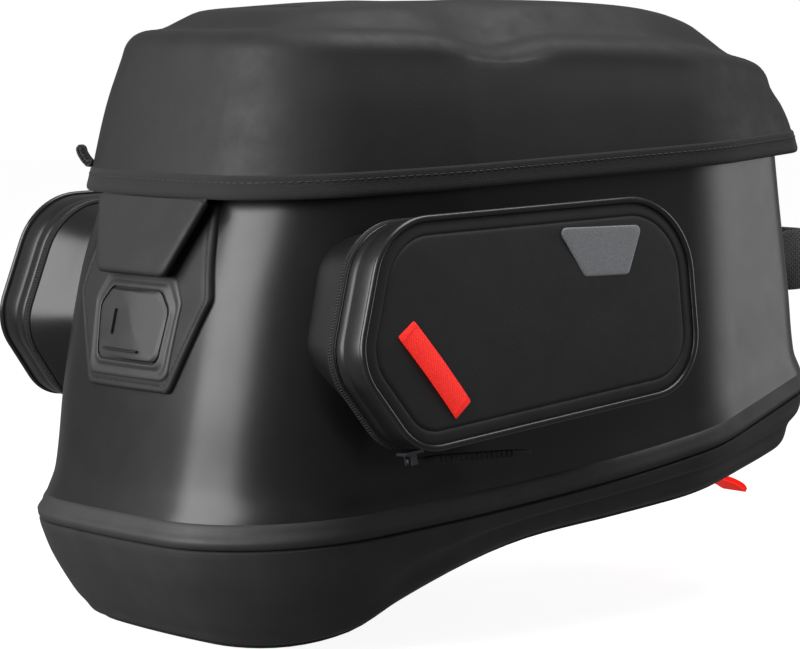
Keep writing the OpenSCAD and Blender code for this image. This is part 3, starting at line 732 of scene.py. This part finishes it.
def base_keys(grow, lift):
    return [
        disc_ring(86, FLOOR_Z + lift),
        *(ring(BOTTOM, inset + grow, lambda y, r=rise, s=share: under(y) + r + lift * s)
          for inset, rise, share in ((-22, 3.5, 1), (-14, 1.2, 1), (-6, 0.1, 1), (-1.5, 1.6, 0.8),
                                     (1.2, 5, 0.5))),
        ring(FLANK, grow, lambda y: under(y) + 13),
        ring(mix(FLANK, WELT, 0.62), grow, lambda y: mix(under(y), welt(y), 0.62)),
        ring(WELT, grow - 1.2, lambda y: welt(y) - 5),
        ring(WELT, grow - 0.2, lambda y: welt(y) - 1.2),
    ]


def make_base():
    outer = loft(base_keys(0, 0), [8, 3, 3, 3, 3, 4, 8, 6, 3])
    inner = loft(base_keys(-WALL, WALL), [4, 1, 1, 1, 1, 2, 4, 3, 1])
    lip = course(welt, [(WELT, -1.4, -0.1), (WELT, -WALL, -0.1)])
    rings = [disc_ring(0.5, FLOOR_Z), disc_ring(60, FLOOR_Z)] + outer + lip + inner[::-1]
    rings += [disc_ring(60, FLOOR_Z + WALL), disc_ring(0.5, FLOOR_Z + WALL)]
    fit(skin("base", rings, BASE_SKIN, cap=(True, True), sharp=50), "bag", "base_moulding", "base_shell")
    foot = loft(course(under, [(BOTTOM, -6.4, 0.2), (BOTTOM, -7.4, -1.8), (BOTTOM, -10, -2.4),
                               (BOTTOM, -16.5, -0.9), (BOTTOM, -19.5, 1.2), (BOTTOM, -20, 3.0)]), 3)
    fit(skin("foot_edge", foot, RUBBER, closed=True), "bag", "foot_rubber", "foot_ring")


def make_liner():
    gap = -WALL - 0.8

    def keys(grow):
        return [
            ring(FLANK, grow - 6, lambda y: under(y) + 13),
            ring(FLANK, grow, lambda y: under(y) + 19),
            ring(mix(FLANK, WELT, 0.6), grow, lambda y: mix(under(y), welt(y), 0.7)),
            ring(WELT, grow, lambda y: welt(y) - 1), ring(LEDGE, grow, ledge),
        ] + body_keys(grow)[1:5]
    out = loft(keys(gap), 3)
    inside = loft(keys(gap - 1.2), 3)
    fit(skin("lining", out + inside[::-1], LINING, closed=True), "bag", "lining", "inner_liner")


def make_rim():
    keys = course(rim, [(RIM, 0.3, -4.0), (RIM, 0.8, -2.5), (RIM, 0.7, 0.6), (RIM, -1.0, 1.7),
                        (RIM, -2.8, 1.4), (RIM, -4.2, -0.4), (RIM, -4.2, -5.0), (RIM, -3.3, -6.0)])
    fit(skin("rim_edging", loft(keys, 2), BINDING, closed=True), "bag", "binding", "rim_binding")
    tape = course(hem, [(NECK, 0.2, 1), (NECK, 0.9, 1.2), (NECK, 0.6, 6.2), (NECK, -0.2, 6.5)])
    path = course(hem, [(NECK, 1.2, ZIP_RISE)])[0]
    fit(zip_half("zip_half_body", tape, path, 1.1), "bag", "zip_coil", "main_zip_tape")


def zip_half(name, tape, path, high):
    """A zip tape with its row of teeth."""
    band = skin("tape", tape, BINDING, closed=True)
    teeth = beads("teeth", path, outward_of(path), ZIP_TEETH, 2.6, 1.9, 1.5, high)
    return join(name, [band, teeth])


def outward_of(path, axis=(0, 0, 1)):
    """Directions pointing out of a closed path, square to it and to an axis."""
    along = unit(np.roll(path, -1, 0) - np.roll(path, 1, 0))
    side = unit(np.cross(along, axis))
    return side * np.sign((side * (path - path.mean(0))).sum(1).mean())


# ---------------------------------------------------------------- lid
SCOOP_Y = -56.0
SCOOP_DEEP = 7.0
CROWN_INSET = 70.0
TAB_BASE = (-86.0, -181.6)
TAB_ANGLE = math.radians(222)


def scoop(x, y):
    """Depth of the finger scoops in the lid's shoulders."""
    return SCOOP_DEEP * np.exp(-(((y - SCOOP_Y) / 24) ** 2)) * smooth((np.abs(x) - 40) / 35)


def lid_ring(grow, height, lift=0.0):
    p = plan(LID_HIGH, grow)
    return np.c_[p, height(p[:, 1]) - scoop(p[:, 0], p[:, 1]) + lift]


def lid_keys(grow, lift):
    between = lambda s: (lambda y: mix(lid_edge(y), lid_crown(y), s))
    walls = [
        ring(HEM, grow, lambda y: hem(y)), ring(LID_LOW, grow, lambda y: hem(y) + 11),
        ring(mix(LID_LOW, LID_HIGH, 0.5), grow + 0.8, lambda y: mix(hem(y) + 11, lid_edge(y) - 13, 0.55)),
        ring(LID_HIGH, grow + 0.6, lambda y: lid_edge(y) - 14),
    ]
    top = [
        lid_ring(grow - 1.6, lambda y: lid_edge(y) - 7, lift * 0.3),
        lid_ring(grow - 5.5, lambda y: lid_edge(y) - 2.2, lift * 0.6),
        lid_ring(grow - 11, lambda y: lid_edge(y) + 0.4, lift),
        lid_ring(grow - 19, between(0.14), lift), lid_ring(grow - 27, between(0.5), lift),
        lid_ring(grow - 36, between(0.86), lift),
        ring(LID_HIGH, grow - 50, lambda y: lid_crown(y) - 0.4 + lift),
        ring(LID_HIGH, grow - CROWN_INSET, lambda y: lid_crown(y) + lift),
    ]
    return walls + top


def closing_rows(last, steps=4):
    """Rows that draw a symmetric ring together into a seam on the centre plane."""
    rows = []
    for s in np.linspace(1, 0, steps + 1)[1:]:
        row = last.copy()
        row[:, 0] *= s
        rows.append(row)
    return rows


def make_lid():
    outer = loft(lid_keys(0, 0), [3, 5, 5, 3, 3, 3, 3, 3, 3, 4, 5])
    inner = loft(lid_keys(-WALL, -WALL), [2, 3, 3, 2, 2, 2, 2, 2, 2, 2, 3])
    outer += closing_rows(outer[-1])
    inner += closing_rows(inner[-1])
    rings = inner[::-1] + outer
    slots = [1] * (len(inner) - 1) + [0] * len(outer)
    shell = skin("lid_skin", rings, [LID_SKIN, LINING], slots=slots, sharp=50)
    fit(shell, "lid", "lid_shell_skin", "lid_shell")
    make_hem()
    make_corner_tab()


def make_hem():
    keys = course(hem, [(LID_LOW, 0.1, 11.2), (LID_LOW, 1.0, 10.4), (LID_LOW, 1.5, 8.5), (HEM, 1.2, 4.5),
                        (HEM, 1.9, 1.2), (HEM, 1.5, -0.7), (HEM, -0.5, -1.1), (HEM, -2.6, -0.7),
                        (HEM, -3.9, 0.8), (HEM, -3.6, 1.5)])
    band = skin("hem_band", loft(keys, 3), BINDING, closed=True, sharp=60)
    path = course(hem, [(LID_LOW, 1.75, 7.6)])[0]
    thread = beads("hem_thread", path, outward_of(path), THREAD, 4.4, 3.1, 0.75, 0.7)
    fit(join("hem_binding", [band, thread]), "lid", "binding", "lid_binding")

    tape = course(hem, [(HEM, -WALL - 1.0, 1.2), (HEM, -WALL - 0.2, 1), (LID_LOW, -WALL - 0.2, 7.2),
                        (LID_LOW, -WALL - 1.0, 7)])
    path = course(hem, [(HEM, -WALL - 1.2, ZIP_RISE)])[0]
    fit(zip_half("zip_half_lid", tape, path, 1.0), "lid", "zip_coil", "lid_zip_tape")


def make_corner_tab():
    profile = [(-0.6, 0.4), (1.5, 0.6), (4.0, 3.2), (6.0, 6.5), (6.7, 9.0), (6.0, 10.4), (4.9, 9.4),
               (4.4, 7.2), (2.6, 4.4), (0.8, 2.4), (-1.0, 2.2)]
    away = np.array([math.cos(TAB_ANGLE), math.sin(TAB_ANGLE), 0])
    root = np.array([*TAB_BASE, hem(TAB_BASE[1]) + 10.9])
    path = np.array([root + away * out + [0, 0, up] for out, up in profile])
    tab = strap("corner_tab", path, 10, 1.9, BLACK_WEBBING, np.cross(away, [0, 0, 1]), rows=0.7)
    fit(tab, "lid", "black_webbing", "lid_pull_tab")


# ---------------------------------------------------------------- deep end
PATCH_TOP, PATCH_KNEE, PATCH_FOOT = 164.0, 116.0, 68.0
TOP_HALF, KNEE_HALF, FOOT_HALF = 46.0, 60.0, 37.0
PATCH_THICK = 3.2


def on_front(points, height, direction=-1):
    """Puts (x, z) points on an end face of the upper body, raised by height."""
    y = end_of_body(points[:, 0], points[:, 1], direction)
    return np.c_[points[:, 0], y + direction * height, points[:, 1]]


def patch_outline(grow):
    right = [[FOOT_HALF + grow, PATCH_FOOT - grow], [KNEE_HALF + grow, PATCH_KNEE],
             [TOP_HALF + grow, PATCH_TOP + grow]]
    return rounded(both_sides(right), [5, 7, 3, 3, 7, 5], 6, 10)


BADGE_Z = 100.0


def badge_outline(grow):
    corners = [[-27 - grow, -17 - grow], [27 + grow, -17 - grow], [31 + grow, 9 + grow / 2],
               [22 + grow, 18 + grow], [-22 - grow, 18 + grow], [-31 - grow, 9 + grow / 2]]
    return rounded(corners, [6, 6, 7, 7, 7, 7], 6, 6) + [0, BADGE_Z]


def make_front():
    profile = [(0.4, -0.8), (0.4, 1.2), (0.0, 2.4), (-0.9, 3.1), (-1.8, 3.2), (-3.0, 2.7), (-4.2, 3.2),
               (-6, 3.2)]
    patch = panel("patch", patch_outline, profile, on_front, PATCH_SKIN, fill=10)
    path = on_front(patch_outline(-3.0), 2.75)
    thread = beads("patch_thread", path, [0, -1, 0.2], THREAD, 3.6, 2.5, 0.6, 0.6)
    fit(join("front_panel", [patch, thread]), "bag", "patch_panel", "front_patch")

    rise = PATCH_THICK
    rings = [(9.5, rise - 0.4), (9.2, rise + 0.5), (8.2, rise + 1.0), (7.0, rise + 0.9), (5.2, rise + 0.2),
             (4.0, rise + 0.3), (3.0, rise + 1.5), (2.0, rise + 1.7), (1.3, rise + 1.4), (1.1, rise - 0.4)]
    frame_rings = [on_front(badge_outline(grow), height) for grow, height in rings]
    surround = skin("badge_surround", frame_rings, BADGE_SKIN, closed=True, sharp=60)
    fit(surround, "bag", "badge_rubber", "badge_frame")

    def faceted(points, height):
        """Leans the badge's face: low at the left and top, with a ridge running down to the right."""
        placed = on_front(points, height)
        x, z = points[:, 0], points[:, 1] - BADGE_Z
        front = smooth((height - rise - 1.2) / 1.0)
        ridge = np.minimum(x * 0.06 + z * 0.045 + 0.9, -x * 0.08 - z * 0.03 + 1.5)
        ridge = np.clip(ridge, -1.0, 1.6)
        placed[:, 1] -= front * ridge
        return placed

    plate = panel("badge_face", badge_outline, [(0.4, rise - 0.4), (0.3, rise + 1.4), (-0.6, rise + 2.3),
                                                (-1.4, rise + 2.5), (-2.2, rise + 2.5)],
                  faceted, BADGE_SKIN, fill=14, sharp=30)
    fit(plate, "bag", "badge_rubber", "badge_plate")
    # The badge's slits are drawn as thin raised strips of the darker rubber; that darker colour is painted
    # shade, standing in for the shadow inside the slits.
    slots = (("long", (-21, -12.5), (13, -12.5), 2.0), ("short", (-14.5, -5), (-12.5, 8), 1.6))
    for name, start, end, wide in slots:
        line = np.array([[mix(start[0], end[0], t), mix(start[1], end[1], t) + BADGE_Z]
                         for t in np.linspace(0, 1, 12)])
        path = faceted(line, rise + 2.45)
        groove = tube("groove_" + name, path, wide, RUBBER, [0, -1, 0], closed=False, flat=0.35)
        fit(groove, "bag", "badge_rubber")


def make_tongue():
    high = span("tongue")[1]
    hinge = np.array(JOINTS["tongue_fold"]["pos_m"], float)
    lean = math.radians(19)
    pivot = np.array([0, high[1] + 0.13, high[2] - 0.92])

    def outline(grow):
        corners = [[-50 - grow, -0.4], [50 + grow, -0.4], [31 + grow, -41 - grow], [-31 - grow, -41 - grow]]
        return rounded(corners, [1.5, 1.5, 7, 7], 8, 12)

    def place(points, height):
        down = np.array([0, -math.sin(lean), -math.cos(lean)])
        out = np.array([0, -math.cos(lean), math.sin(lean)])
        curl = 0.9 * smooth(-points[:, 1] / 41)
        return pivot + points[:, :1] * [1, 0, 0] - points[:, 1:] * down + (height + curl)[:, None] * out

    profile = [(-1.0, 0.1), (-0.2, 0.5), (0.1, 1.5), (0.1, 2.7), (-0.3, 3.5), (-1.1, 4.1), (-2.4, 4.4),
               (-4.0, 4.5)]
    flap = panel("tongue_flap_piece", outline, profile, place, PATCH_SKIN, fill=10)
    fit(flap, "tongue_flap", "patch_panel", "tongue")

    rows = []
    x = np.linspace(-48, 48, 25)
    for rise, back in ((4.4, 2.0), (1.6, -0.5), (-0.6, -1.5), (-3.4, -2.4)):
        rows.append(np.c_[x, pivot[1] + back - 0.9 * (1 - (x / 100) ** 2), np.full(25, pivot[2] + rise)])
    fold = cloth("tongue_fold_strip", rows, [0, 1.3, 0])
    folding(fold)


# ---------------------------------------------------------------- handle end
HANDLE_Z = 121.0
ANCHOR_X = 62.0


def on_rear(points, height):
    return on_front(points, height, 1)


def make_handle():
    low, high = span("carry_handle")
    reach = high[1] - 2.6
    half_z = (high[2] - low[2]) / 2
    root_y = 171.5
    corner_points = [[66, root_y - 24], [53, reach], [-53, reach], [-66, root_y - 24]]
    line = rounded(corner_points, [1, 19, 19, 1], 14, 24)
    line = line[line[:, 1] > root_y]
    line = line[np.argsort(-line[:, 0], kind="stable")]
    start = line[line[:, 0] > 50]
    start = start[np.argsort(start[:, 1])]
    end = line[line[:, 0] < -50]
    end = end[np.argsort(-end[:, 1])]
    path = np.vstack([start, line[np.abs(line[:, 0]) <= 50], end])
    path = np.c_[path, np.full(len(path), HANDLE_Z)]
    points, along = resample(path, 2.0, closed=False)
    normal = unit(np.cross(along, [0, 0, 1]))
    section = [(-1, -0.55), (-0.93, -1), (0, -1), (0.93, -1), (1, -0.55), (1, 0.55), (0.93, 1), (0, 1),
               (-0.93, 1), (-1, 0.55)]
    rings = []
    for p, n in zip(points, normal):
        half = mix(9.0, half_z, smooth((p[1] - root_y - 2) / 20))
        fat = 1.0 + 0.5 * smooth((28 - abs(p[0])) / 10)
        rings.append(np.array([p + [0, 0, a * half] + b * n * 2.4 * fat for a, b in section]))
    grip = skin("handle_band", rings, BLACK_WEBBING, cap=(True, True), sharp=60)
    threads = []
    inside = points[(np.abs(points[:, 0]) < 50) & (points[:, 1] > reach - 3)]
    for rise in (-0.8, 0.8):
        edge = inside + [0, 3.6, rise * half_z]
        threads.append(beads("handle_thread", edge, [0, 1, 0], THREAD, 4.0, 2.8, 0.7, 0.7, closed=False))
    handle = join("grab_handle", [grip] + threads)
    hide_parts("carry_handle")
    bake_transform(handle)

    pieces = []
    for side in (-1, 1):
        def outline(grow, side=side):
            corners = [[-10 - grow, -22 - grow], [10 + grow, -22 - grow], [10 + grow, 22 + grow],
                       [-10 - grow, 22 + grow]]
            return rounded(corners, [2.5] * 4, 5, 8) + [side * ANCHOR_X, HANDLE_Z]
        profile = [(0, -0.6), (0, 1.8), (-0.7, 2.6), (-1.6, 2.8)]
        pieces.append(panel("anchor", outline, profile, on_rear, BLACK_WEBBING, fill=6))
        path = on_rear(outline(-2.6), 2.9)
        pieces.append(beads("anchor_thread", path, [0, 1, 0], THREAD, 3.2, 2.3, 0.6, 0.6))
        for sign in (-1, 1):
            line = np.array([[side * ANCHOR_X + sign * mix(-7, 7, s), HANDLE_Z + mix(-19, 19, s)]
                             for s in np.linspace(0, 1, 14)])
            pieces.append(beads("anchor_cross", on_rear(line, 2.9), [0, 1, 0], THREAD, 3.2, 2.3, 0.6, 0.6,
                                closed=False))
    fit(join("handle_patches", pieces), "bag", "black_webbing", "handle_anchors")


def make_hinge():
    x = np.linspace(-60, 60, 41)
    rows = []
    for z, out in ((149, 0.4), (152, 1.5), (165, 1.6), (178, 1.9)):
        rows.append(np.c_[x, end_of_body(x, np.full(41, z), 1) + out, np.full(41, z)])
    fit(cloth("hinge_cloth", rows, [0, -1.8, 0]), "bag", "binding", "hinge_strip")
    neck = end_of_body(x, np.full(41, 178.0), 1)
    bow = neck - neck.max()
    steps = [(176.0, 166.6), (180.0, 168.6), (184.0, 171.2), (187.5, 170.4), (192.0, 168.9)]
    rows = [np.c_[x, y + bow, np.full(41, z)] for z, y in steps]
    rows = loft(rows, 3)
    fold = cloth("lid_hinge_cloth", rows, [0, -1.2, 0])
    folding(fold)


# ---------------------------------------------------------------- pockets, drawn on the right
ZIP_AXIS = JOINTS["zip_run_right"]["axis"]
DOOR_PIVOT = np.array(JOINTS["door_hinge_right"]["pos_m"], float) / MM
LEAN = math.atan2(abs(ZIP_AXIS[2]), abs(ZIP_AXIS[0]))
POCKET_TOP = 165.0
ZIP_PLANE = DOOR_PIVOT[0] - (POCKET_TOP - DOOR_PIVOT[2]) * math.tan(LEAN)
DOOR_DEPTH = 23.0
FOOT_SHIFT = 0.08
FACE_CROWN = 1.1
POCKET_POINTS = np.array([[-159.5, 44], [-192, 87.5], [-171, 156], [22, 164], [24, 66]])
POCKET_RADII = np.array([26.0, 30, 36, 38, 32])
LOOP_LINE = ((-163.5, 104.5), (-131.0, 62.5))
FILM_POINTS = ((-64.7, 149.6), (-9.3, 149.6), (-20.5, 124.7), (-49.4, 124.7))
OUTWARD = np.array([math.cos(LEAN), 0, math.sin(LEAN)])


def leaning(points):
    """Puts (x outward of the zip plane, y, z) on the pocket, whose face leans with the bag's side."""
    x, y, z = np.asarray(points, float).T
    down = POCKET_TOP - z
    return np.c_[ZIP_PLANE + x * math.cos(LEAN) + down * math.sin(LEAN), y,
                 POCKET_TOP + x * math.sin(LEAN) - down * math.cos(LEAN)]


def pocket_outline(grow=0.0):
    moved = []
    count = len(POCKET_POINTS)
    for i, p in enumerate(POCKET_POINTS):
        u = unit(POCKET_POINTS[i - 1] - p)
        w = unit(POCKET_POINTS[(i + 1) % count] - p)
        moved.append(p - unit(u + w) * grow / math.sin(math.acos(np.clip(u @ w, -1, 1)) / 2))
    return rounded(moved, np.maximum(POCKET_RADII + grow, 2), 12, 14)


def pocket_ring(grow, x):
    p = pocket_outline(grow)
    return leaning(np.c_[np.full(len(p), x), p])


def pocket_rings(*steps):
    """Rings of the pocket; each step is its growth and its place outward of the zip plane."""
    return [pocket_ring(grow, x) for grow, x in steps]


def pocket_foot(grow, sink):
    """Where the pocket's collar meets the side of the body."""
    p = pocket_outline(grow)
    y = p[:, 0] + FOOT_SHIFT * (POCKET_TOP - p[:, 1])
    return np.c_[side_of_body(y, p[:, 1]) - sink, y, p[:, 1]]


def make_collar(side, flip):
    edge = -0.3
    base = loft(pocket_rings((-2.6, edge - 1), (-0.4, edge), (0.2, edge - 1.0), (0.6, edge - 2.4),
                             (-0.9, edge - 7)) + [
        mix(pocket_ring(-1.6, edge - 9), pocket_foot(-8.5, 0), 0.35),
        pocket_foot(-8.0, 0.2), pocket_foot(-9.0, 2.0),
    ], [2, 2, 2, 3, 3, 5, 2])
    inner = loft([pocket_foot(-11.5, 2.0), mix(pocket_ring(-4, edge - 9), pocket_foot(-11, 0), 0.4),
                  pocket_ring(-2.8, edge - 4)], 3)
    piece = skin(f"gusset_base_{side}", [flip(r) for r in base + inner], BODY_SKIN, closed=True, sharp=60)
    fit(piece, "bag", "body_tpu", f"pocket_base_{side}")

    tape = pocket_rings((0.0, edge - 5.6), (0.6, edge - 5.2), (0.9, edge - 3), (0.6, edge - 0.6),
                        (0.0, edge - 0.3))
    band = skin("zip_band", [flip(r) for r in tape], ZIP_TAPE, closed=True)
    path = pocket_ring(1.0, edge - 2.9)
    teeth = beads("coil", flip(path), flip(outward_of(path, OUTWARD)), ZIP_TEETH, 1.5, 3.0, 0.9, 0.7,
                  lean=3.2)
    fit(join(f"pocket_zip_coil_{side}", [band, teeth]), "bag", "zip_coil", f"pocket_zip_{side}")


def make_door(side, flip, door):
    deep = DOOR_DEPTH
    wall = loft(pocket_rings((-2.6, 1.1), (-0.6, 0.4), (0.1, 1.3), (0.2, 4.7), (-0.2, 7.3), (0.3, 9.7),
                             (0.6, 14.7), (0.1, deep - 2.2), (-0.8, deep - 0.7)), 3)
    face = loft(pocket_rings((-1.6, deep - 0.3), (-4, deep + 0.2), (-7.0, deep + 0.4), (-8.0, deep - 0.2),
                             (-9.0, deep + 0.5), (-12, deep + 0.8)), [2, 3, 3, 3, 3])
    fill = [towards_middle(-12, deep + 0.8 + FACE_CROWN * (1 - s**2), s)
            for s in np.linspace(1, 0.03, 14)[1:]]
    backs = [towards_middle(-3.0, deep - 3, s) for s in np.linspace(0.03, 1, 8)]
    rings = backs + [pocket_ring(-3.0, 2.2)] + wall + face + fill
    slots = [2] * len(backs) + [1] * (len(wall) + 1) + [0] * len(rings)
    piece = skin(f"pocket_shell_{side}", [flip(r) for r in rings], [PANEL_SKIN, BODY_SKIN, LINING],
                 cap=(True, True), slots=slots[:len(rings) - 1], sharp=55)
    fit(piece, door, "pocket_panel", f"pocket_door_{side}")
    path = flip(pocket_ring(0.1, deep - 0.1))
    cord = tube(f"pocket_edge_{side}", path, 1.7, PIPING, flip(OUTWARD), sides=12)
    fit(cord, door, "piping", f"pocket_piping_{side}")


def towards_middle(grow, x, share):
    """The pocket's outline drawn in towards its own middle."""
    p = drawn_in(pocket_outline(grow), share)
    return leaning(np.c_[np.full(len(p), x), p])


def make_loop(side, flip, door):
    start, end = np.array(LOOP_LINE, float)
    axis = unit(end - start)
    length = np.linalg.norm(end - start)
    across = flip(leaning([[0, -axis[1], axis[0]], [0, 0, 0]])[0] - leaning([[0, 0, 0]])[0])

    def on_loop(s, lift):
        return leaning([[DOOR_DEPTH + 0.3 + lift, *(start + axis * s * length)]])[0]
    path = [on_loop(s, lift) for s, lift in
            ((-0.005, -0.6), (0.03, 0.9), (0.2, 1.5), (0.5, 1.9), (0.8, 1.5), (0.97, 0.9),
             (1.005, -0.6))]
    band = strap("loop", flip(np.array(path)), 12.5, 1.3, RED_WEBBING_PAINTED_GLOW, across, rows=1.2)
    ends = []
    for s in (0.06, 0.94):
        centre = flip(on_loop(s, 1.7))
        line = np.array([centre + unit(across) * t for t in np.linspace(-5, 5, 9)])
        ends.append(beads("tack", line, flip(OUTWARD), RED_WEBBING_PAINTED_GLOW, 1.3, 1.0, 1.6, 0.5, closed=False))
    fit(join(f"pull_loop_{side}", [band] + ends), door, "red_webbing", f"pocket_loop_{side}")


def make_film(side, flip, door):
    middle = np.mean(FILM_POINTS, axis=0)

    def film(grow):
        corners = [p + np.sign(p - middle) * grow for p in np.array(FILM_POINTS)]
        return rounded(corners, [3 + grow] * 4, 5, 8)

    def on_face(points, height):
        return flip(leaning(np.insert(points, 0, DOOR_DEPTH + 1.3 + height, axis=1)))
    profile = [(0, -1.0), (0, 0.25), (-0.35, 0.5), (-0.9, 0.55)]
    piece = panel(f"reflector_{side}", film, profile, on_face, REFLECTIVE)
    fit(piece, door, "reflector", f"pocket_reflector_{side}")


def make_fold(side, flip):
    """The cloth at the pocket's lower edge, on which its door folds."""
    first, last = POCKET_POINTS[0], POCKET_POINTS[-1]
    points = [mix(first, last, s) for s in np.linspace(0.10, 0.86, 40)]
    rows = [leaning([[x, p[0], p[1] + rise] for p in points])
            for x, rise in ((-1.9, 0.9), (-0.3, 0.35), (0.3, 0.2), (1.9, 0.9))]
    fold = cloth(f"pocket_fold_{side}", [flip(r) for r in rows], [0, 0, 0.7])
    pivot = flip(DOOR_PIVOT) * MM
    step = flip(OUTWARD) * MM
    folding(fold)


def make_pocket(side, flip):
    """All the pieces of one side pocket; flip puts points on the wanted side."""
    make_collar(side, flip)
    make_door(side, flip, f"door_{side}")
    make_loop(side, flip, f"door_{side}")
    make_film(side, flip, f"door_{side}")
    make_fold(side, flip)
    make_puller(side, flip, f"pull_{side}")


PULLER_SQUARE = 0.55


def make_puller(side, flip, pull):
    low, high = span("zip_puller_right")
    pin = np.array(JOINTS["puller_swing_right"]["pos_m"], float) / MM
    far = np.array([(low[0] + high[0]) / 2, high[1] - 1.5, high[2] - 3.2])
    along = unit((far - pin) * [0, 1, 1])
    up = unit(np.cross(OUTWARD, along))
    up = up * np.sign(up[2])
    reach = (high[1] - pin[1]) / along[1]
    # Distance from the pin, half height and half width
    stations = [(-2.7, 0.5, 0.8), (-2.3, 1.3, 1.3), (0, 2.0, 1.6), (3, 2.0, 1.5), (7, 1.7, 1.3),
                (12, 2.3, 1.8), (20, 2.4, 1.9), (40, 2.3, 1.9), (58, 2.1, 1.8), (68, 1.7, 1.6),
                (reach - 2.5, 1.1, 1.2), (reach, 0.4, 0.6)]
    keys = []
    for s, high_half, wide_half in stations:
        a = 2 * math.pi * np.arange(16) / 16
        across, over = (np.sign(v) * np.abs(v) ** PULLER_SQUARE for v in (np.cos(a), np.sin(a)))
        section = np.c_[across * wide_half, over * high_half]
        keys.append(pin + along * s + section[:, :1] * OUTWARD + section[:, 1:] * up)
    body = skin("puller_body", [flip(r) for r in loft(keys, 4)], RUBBER, cap=(True, True), sharp=60)
    ribs = []
    for s in np.arange(18, 64, 3.2):
        line = np.array([pin + along * s + up * t for t in (-1.6, 0, 1.6)]) + OUTWARD * 1.7
        ribs.append(tube("rib", flip(line), 0.45, RUBBER, flip(OUTWARD), closed=False, sides=6))
    fit(join(f"puller_{side}", [body] + ribs), pull, "foot_rubber", f"zip_puller_{side}")


# ---------------------------------------------------------------- release strap and the lock's CAD parts
STRAP_LINE = [[79, 6.4], [96, 6.2], [120, 2.5], [150, -1.5], [176, -4.5], [192, -8], [201, -11.5],
              [205, -14]]


def make_strap():
    y = np.array([p[0] for p in STRAP_LINE], float)
    at = np.linspace(y[0], y[-1], 50)
    line = np.c_[np.zeros(50), at, curve(STRAP_LINE, at)]
    tip = line[-1]
    fold = [tip + [0, 1.0, -1.5], tip + [0, 0.2, -3.0], line[-4] + [0, -0.6, -2.4], line[-9] + [0, 0, -2.0],
            line[-12] + [0, 0, -1.7]]
    band = strap("strap_band", np.vstack([line, fold]), 20, 1.3, RED_WEBBING_PAINTED_GLOW, [1, 0, 0], rows=1.6)
    rows = []
    for k in (-11, -10):
        centre = line[k] + [0, 0, 0.9]
        path = np.array([centre + [t, 0, 0] for t in np.linspace(-8, 8, 9)])
        rows.append(beads("strap_tack", path, [0, 0, 1], THREAD, 2.4, 1.8, 0.6, 0.5, closed=False))
    fit(join("release_webbing", [band] + rows), "release", "red_webbing", "release_strap")


CAD_LOOKS = {
    "mount_ring": NYLON, "latch_housing": NYLON, "latch_slider": NYLON, "ring_plate": STEEL,
    "ring_screws": STEEL, "latch_springs": STEEL, "snap_plate": STEEL, "tongue_magnet": STEEL,
    "zip_slider_right": ZIP_METAL, "zip_slider_left": ZIP_METAL,
}
CAD_BEVEL = 0.35 * MM


def dress_cad():
    """Carried-over CAD nodes keep their shape and get a material and softened edges."""
    for name, material in CAD_LOOKS.items():
        node = NODES[name]
        node.data.materials.clear()
        node.data.materials.append(material)
        bevel = node.modifiers.new("soft_edges", "BEVEL")
        bevel.width = CAD_BEVEL
        bevel.segments = 2
        bevel.limit_method = "ANGLE"
        bevel.angle_limit = math.radians(50)


# ---------------------------------------------------------------- stage
ROOM_LIGHT = 0.22
PAPER_WHITE = 1.0
FLOOR_HALF = 6.0
FLOOR_GLOW = 0.92
AIM = (0, -0.03, 0.09)
# Name, place, width and height, power
LIGHTS = (
    ("key", around(-9, 22, 1.6), (1.45, 1.2), 42),
    ("top", (0.25, 0.25, 1.5), (1.2, 1.2), 24),
    ("side", around(162, 12, 1.8), (0.8, 1.1), 6.5),
)


def area_light(name, place, size, power):
    data = bpy.data.lights.new(name, "AREA")
    data.shape = "RECTANGLE"
    data.size, data.size_y = size
    data.energy = power
    aimed(name, data, place, Vector(AIM) - Vector(place))


def make_stage():
    size = FLOOR_HALF
    low = cad_low.z - 0.0005
    mesh = bpy.data.meshes.new("floor")
    corners = [(-size, -size, low), (size, -size, low), (size, size, low), (-size, size, low)]
    mesh.from_pydata(corners, [], [(0, 1, 2, 3)])
    s = Shader("floor_paper", (0.22, 0.22, 0.22), 0.85)
    s.tint(s.noise(3, 2.0), 0.99, 1.01)
    mesh.materials.append(s.finish(Emission_Color=(1.0, 1.0, 1.0, 1), Emission_Strength=FLOOR_GLOW))
    floor = new_object("floor", mesh)
    floor.visible_glossy = False
    floor.visible_diffuse = False
    make_world()
    for light in LIGHTS:
        area_light(*light)
    bpy.context.scene.view_settings.view_transform = "Standard"


def make_world():
    """White to the camera; to the bag a dim grey room, so that its black skins stay black."""
    world = bpy.data.worlds.new("studio")
    bpy.context.scene.world = world
    world.use_nodes = True
    nodes, links = world.node_tree.nodes, world.node_tree.links
    room = nodes["Background"]
    paper = nodes.new("ShaderNodeBackground")
    for background, strength in ((room, ROOM_LIGHT), (paper, PAPER_WHITE)):
        background.inputs["Color"].default_value = (1.0, 1.0, 1.0, 1)
        background.inputs["Strength"].default_value = strength
    seen = nodes.new("ShaderNodeLightPath")
    choose = nodes.new("ShaderNodeMixShader")
    for k, source in enumerate((seen.outputs["Is Camera Ray"], room.outputs[0], paper.outputs[0])):
        links.new(source, choose.inputs[k])
    links.new(choose.outputs[0], nodes["World Output"].inputs["Surface"])


# ---------------------------------------------------------------- build
make_body()
make_welt()
make_base()
make_liner()
make_rim()
make_lid()
make_front()
make_tongue()
make_handle()
make_hinge()
make_pocket("right", lambda p: np.array(p, float))
make_pocket("left", mirrored)
make_strap()
dress_cad()
make_stage()
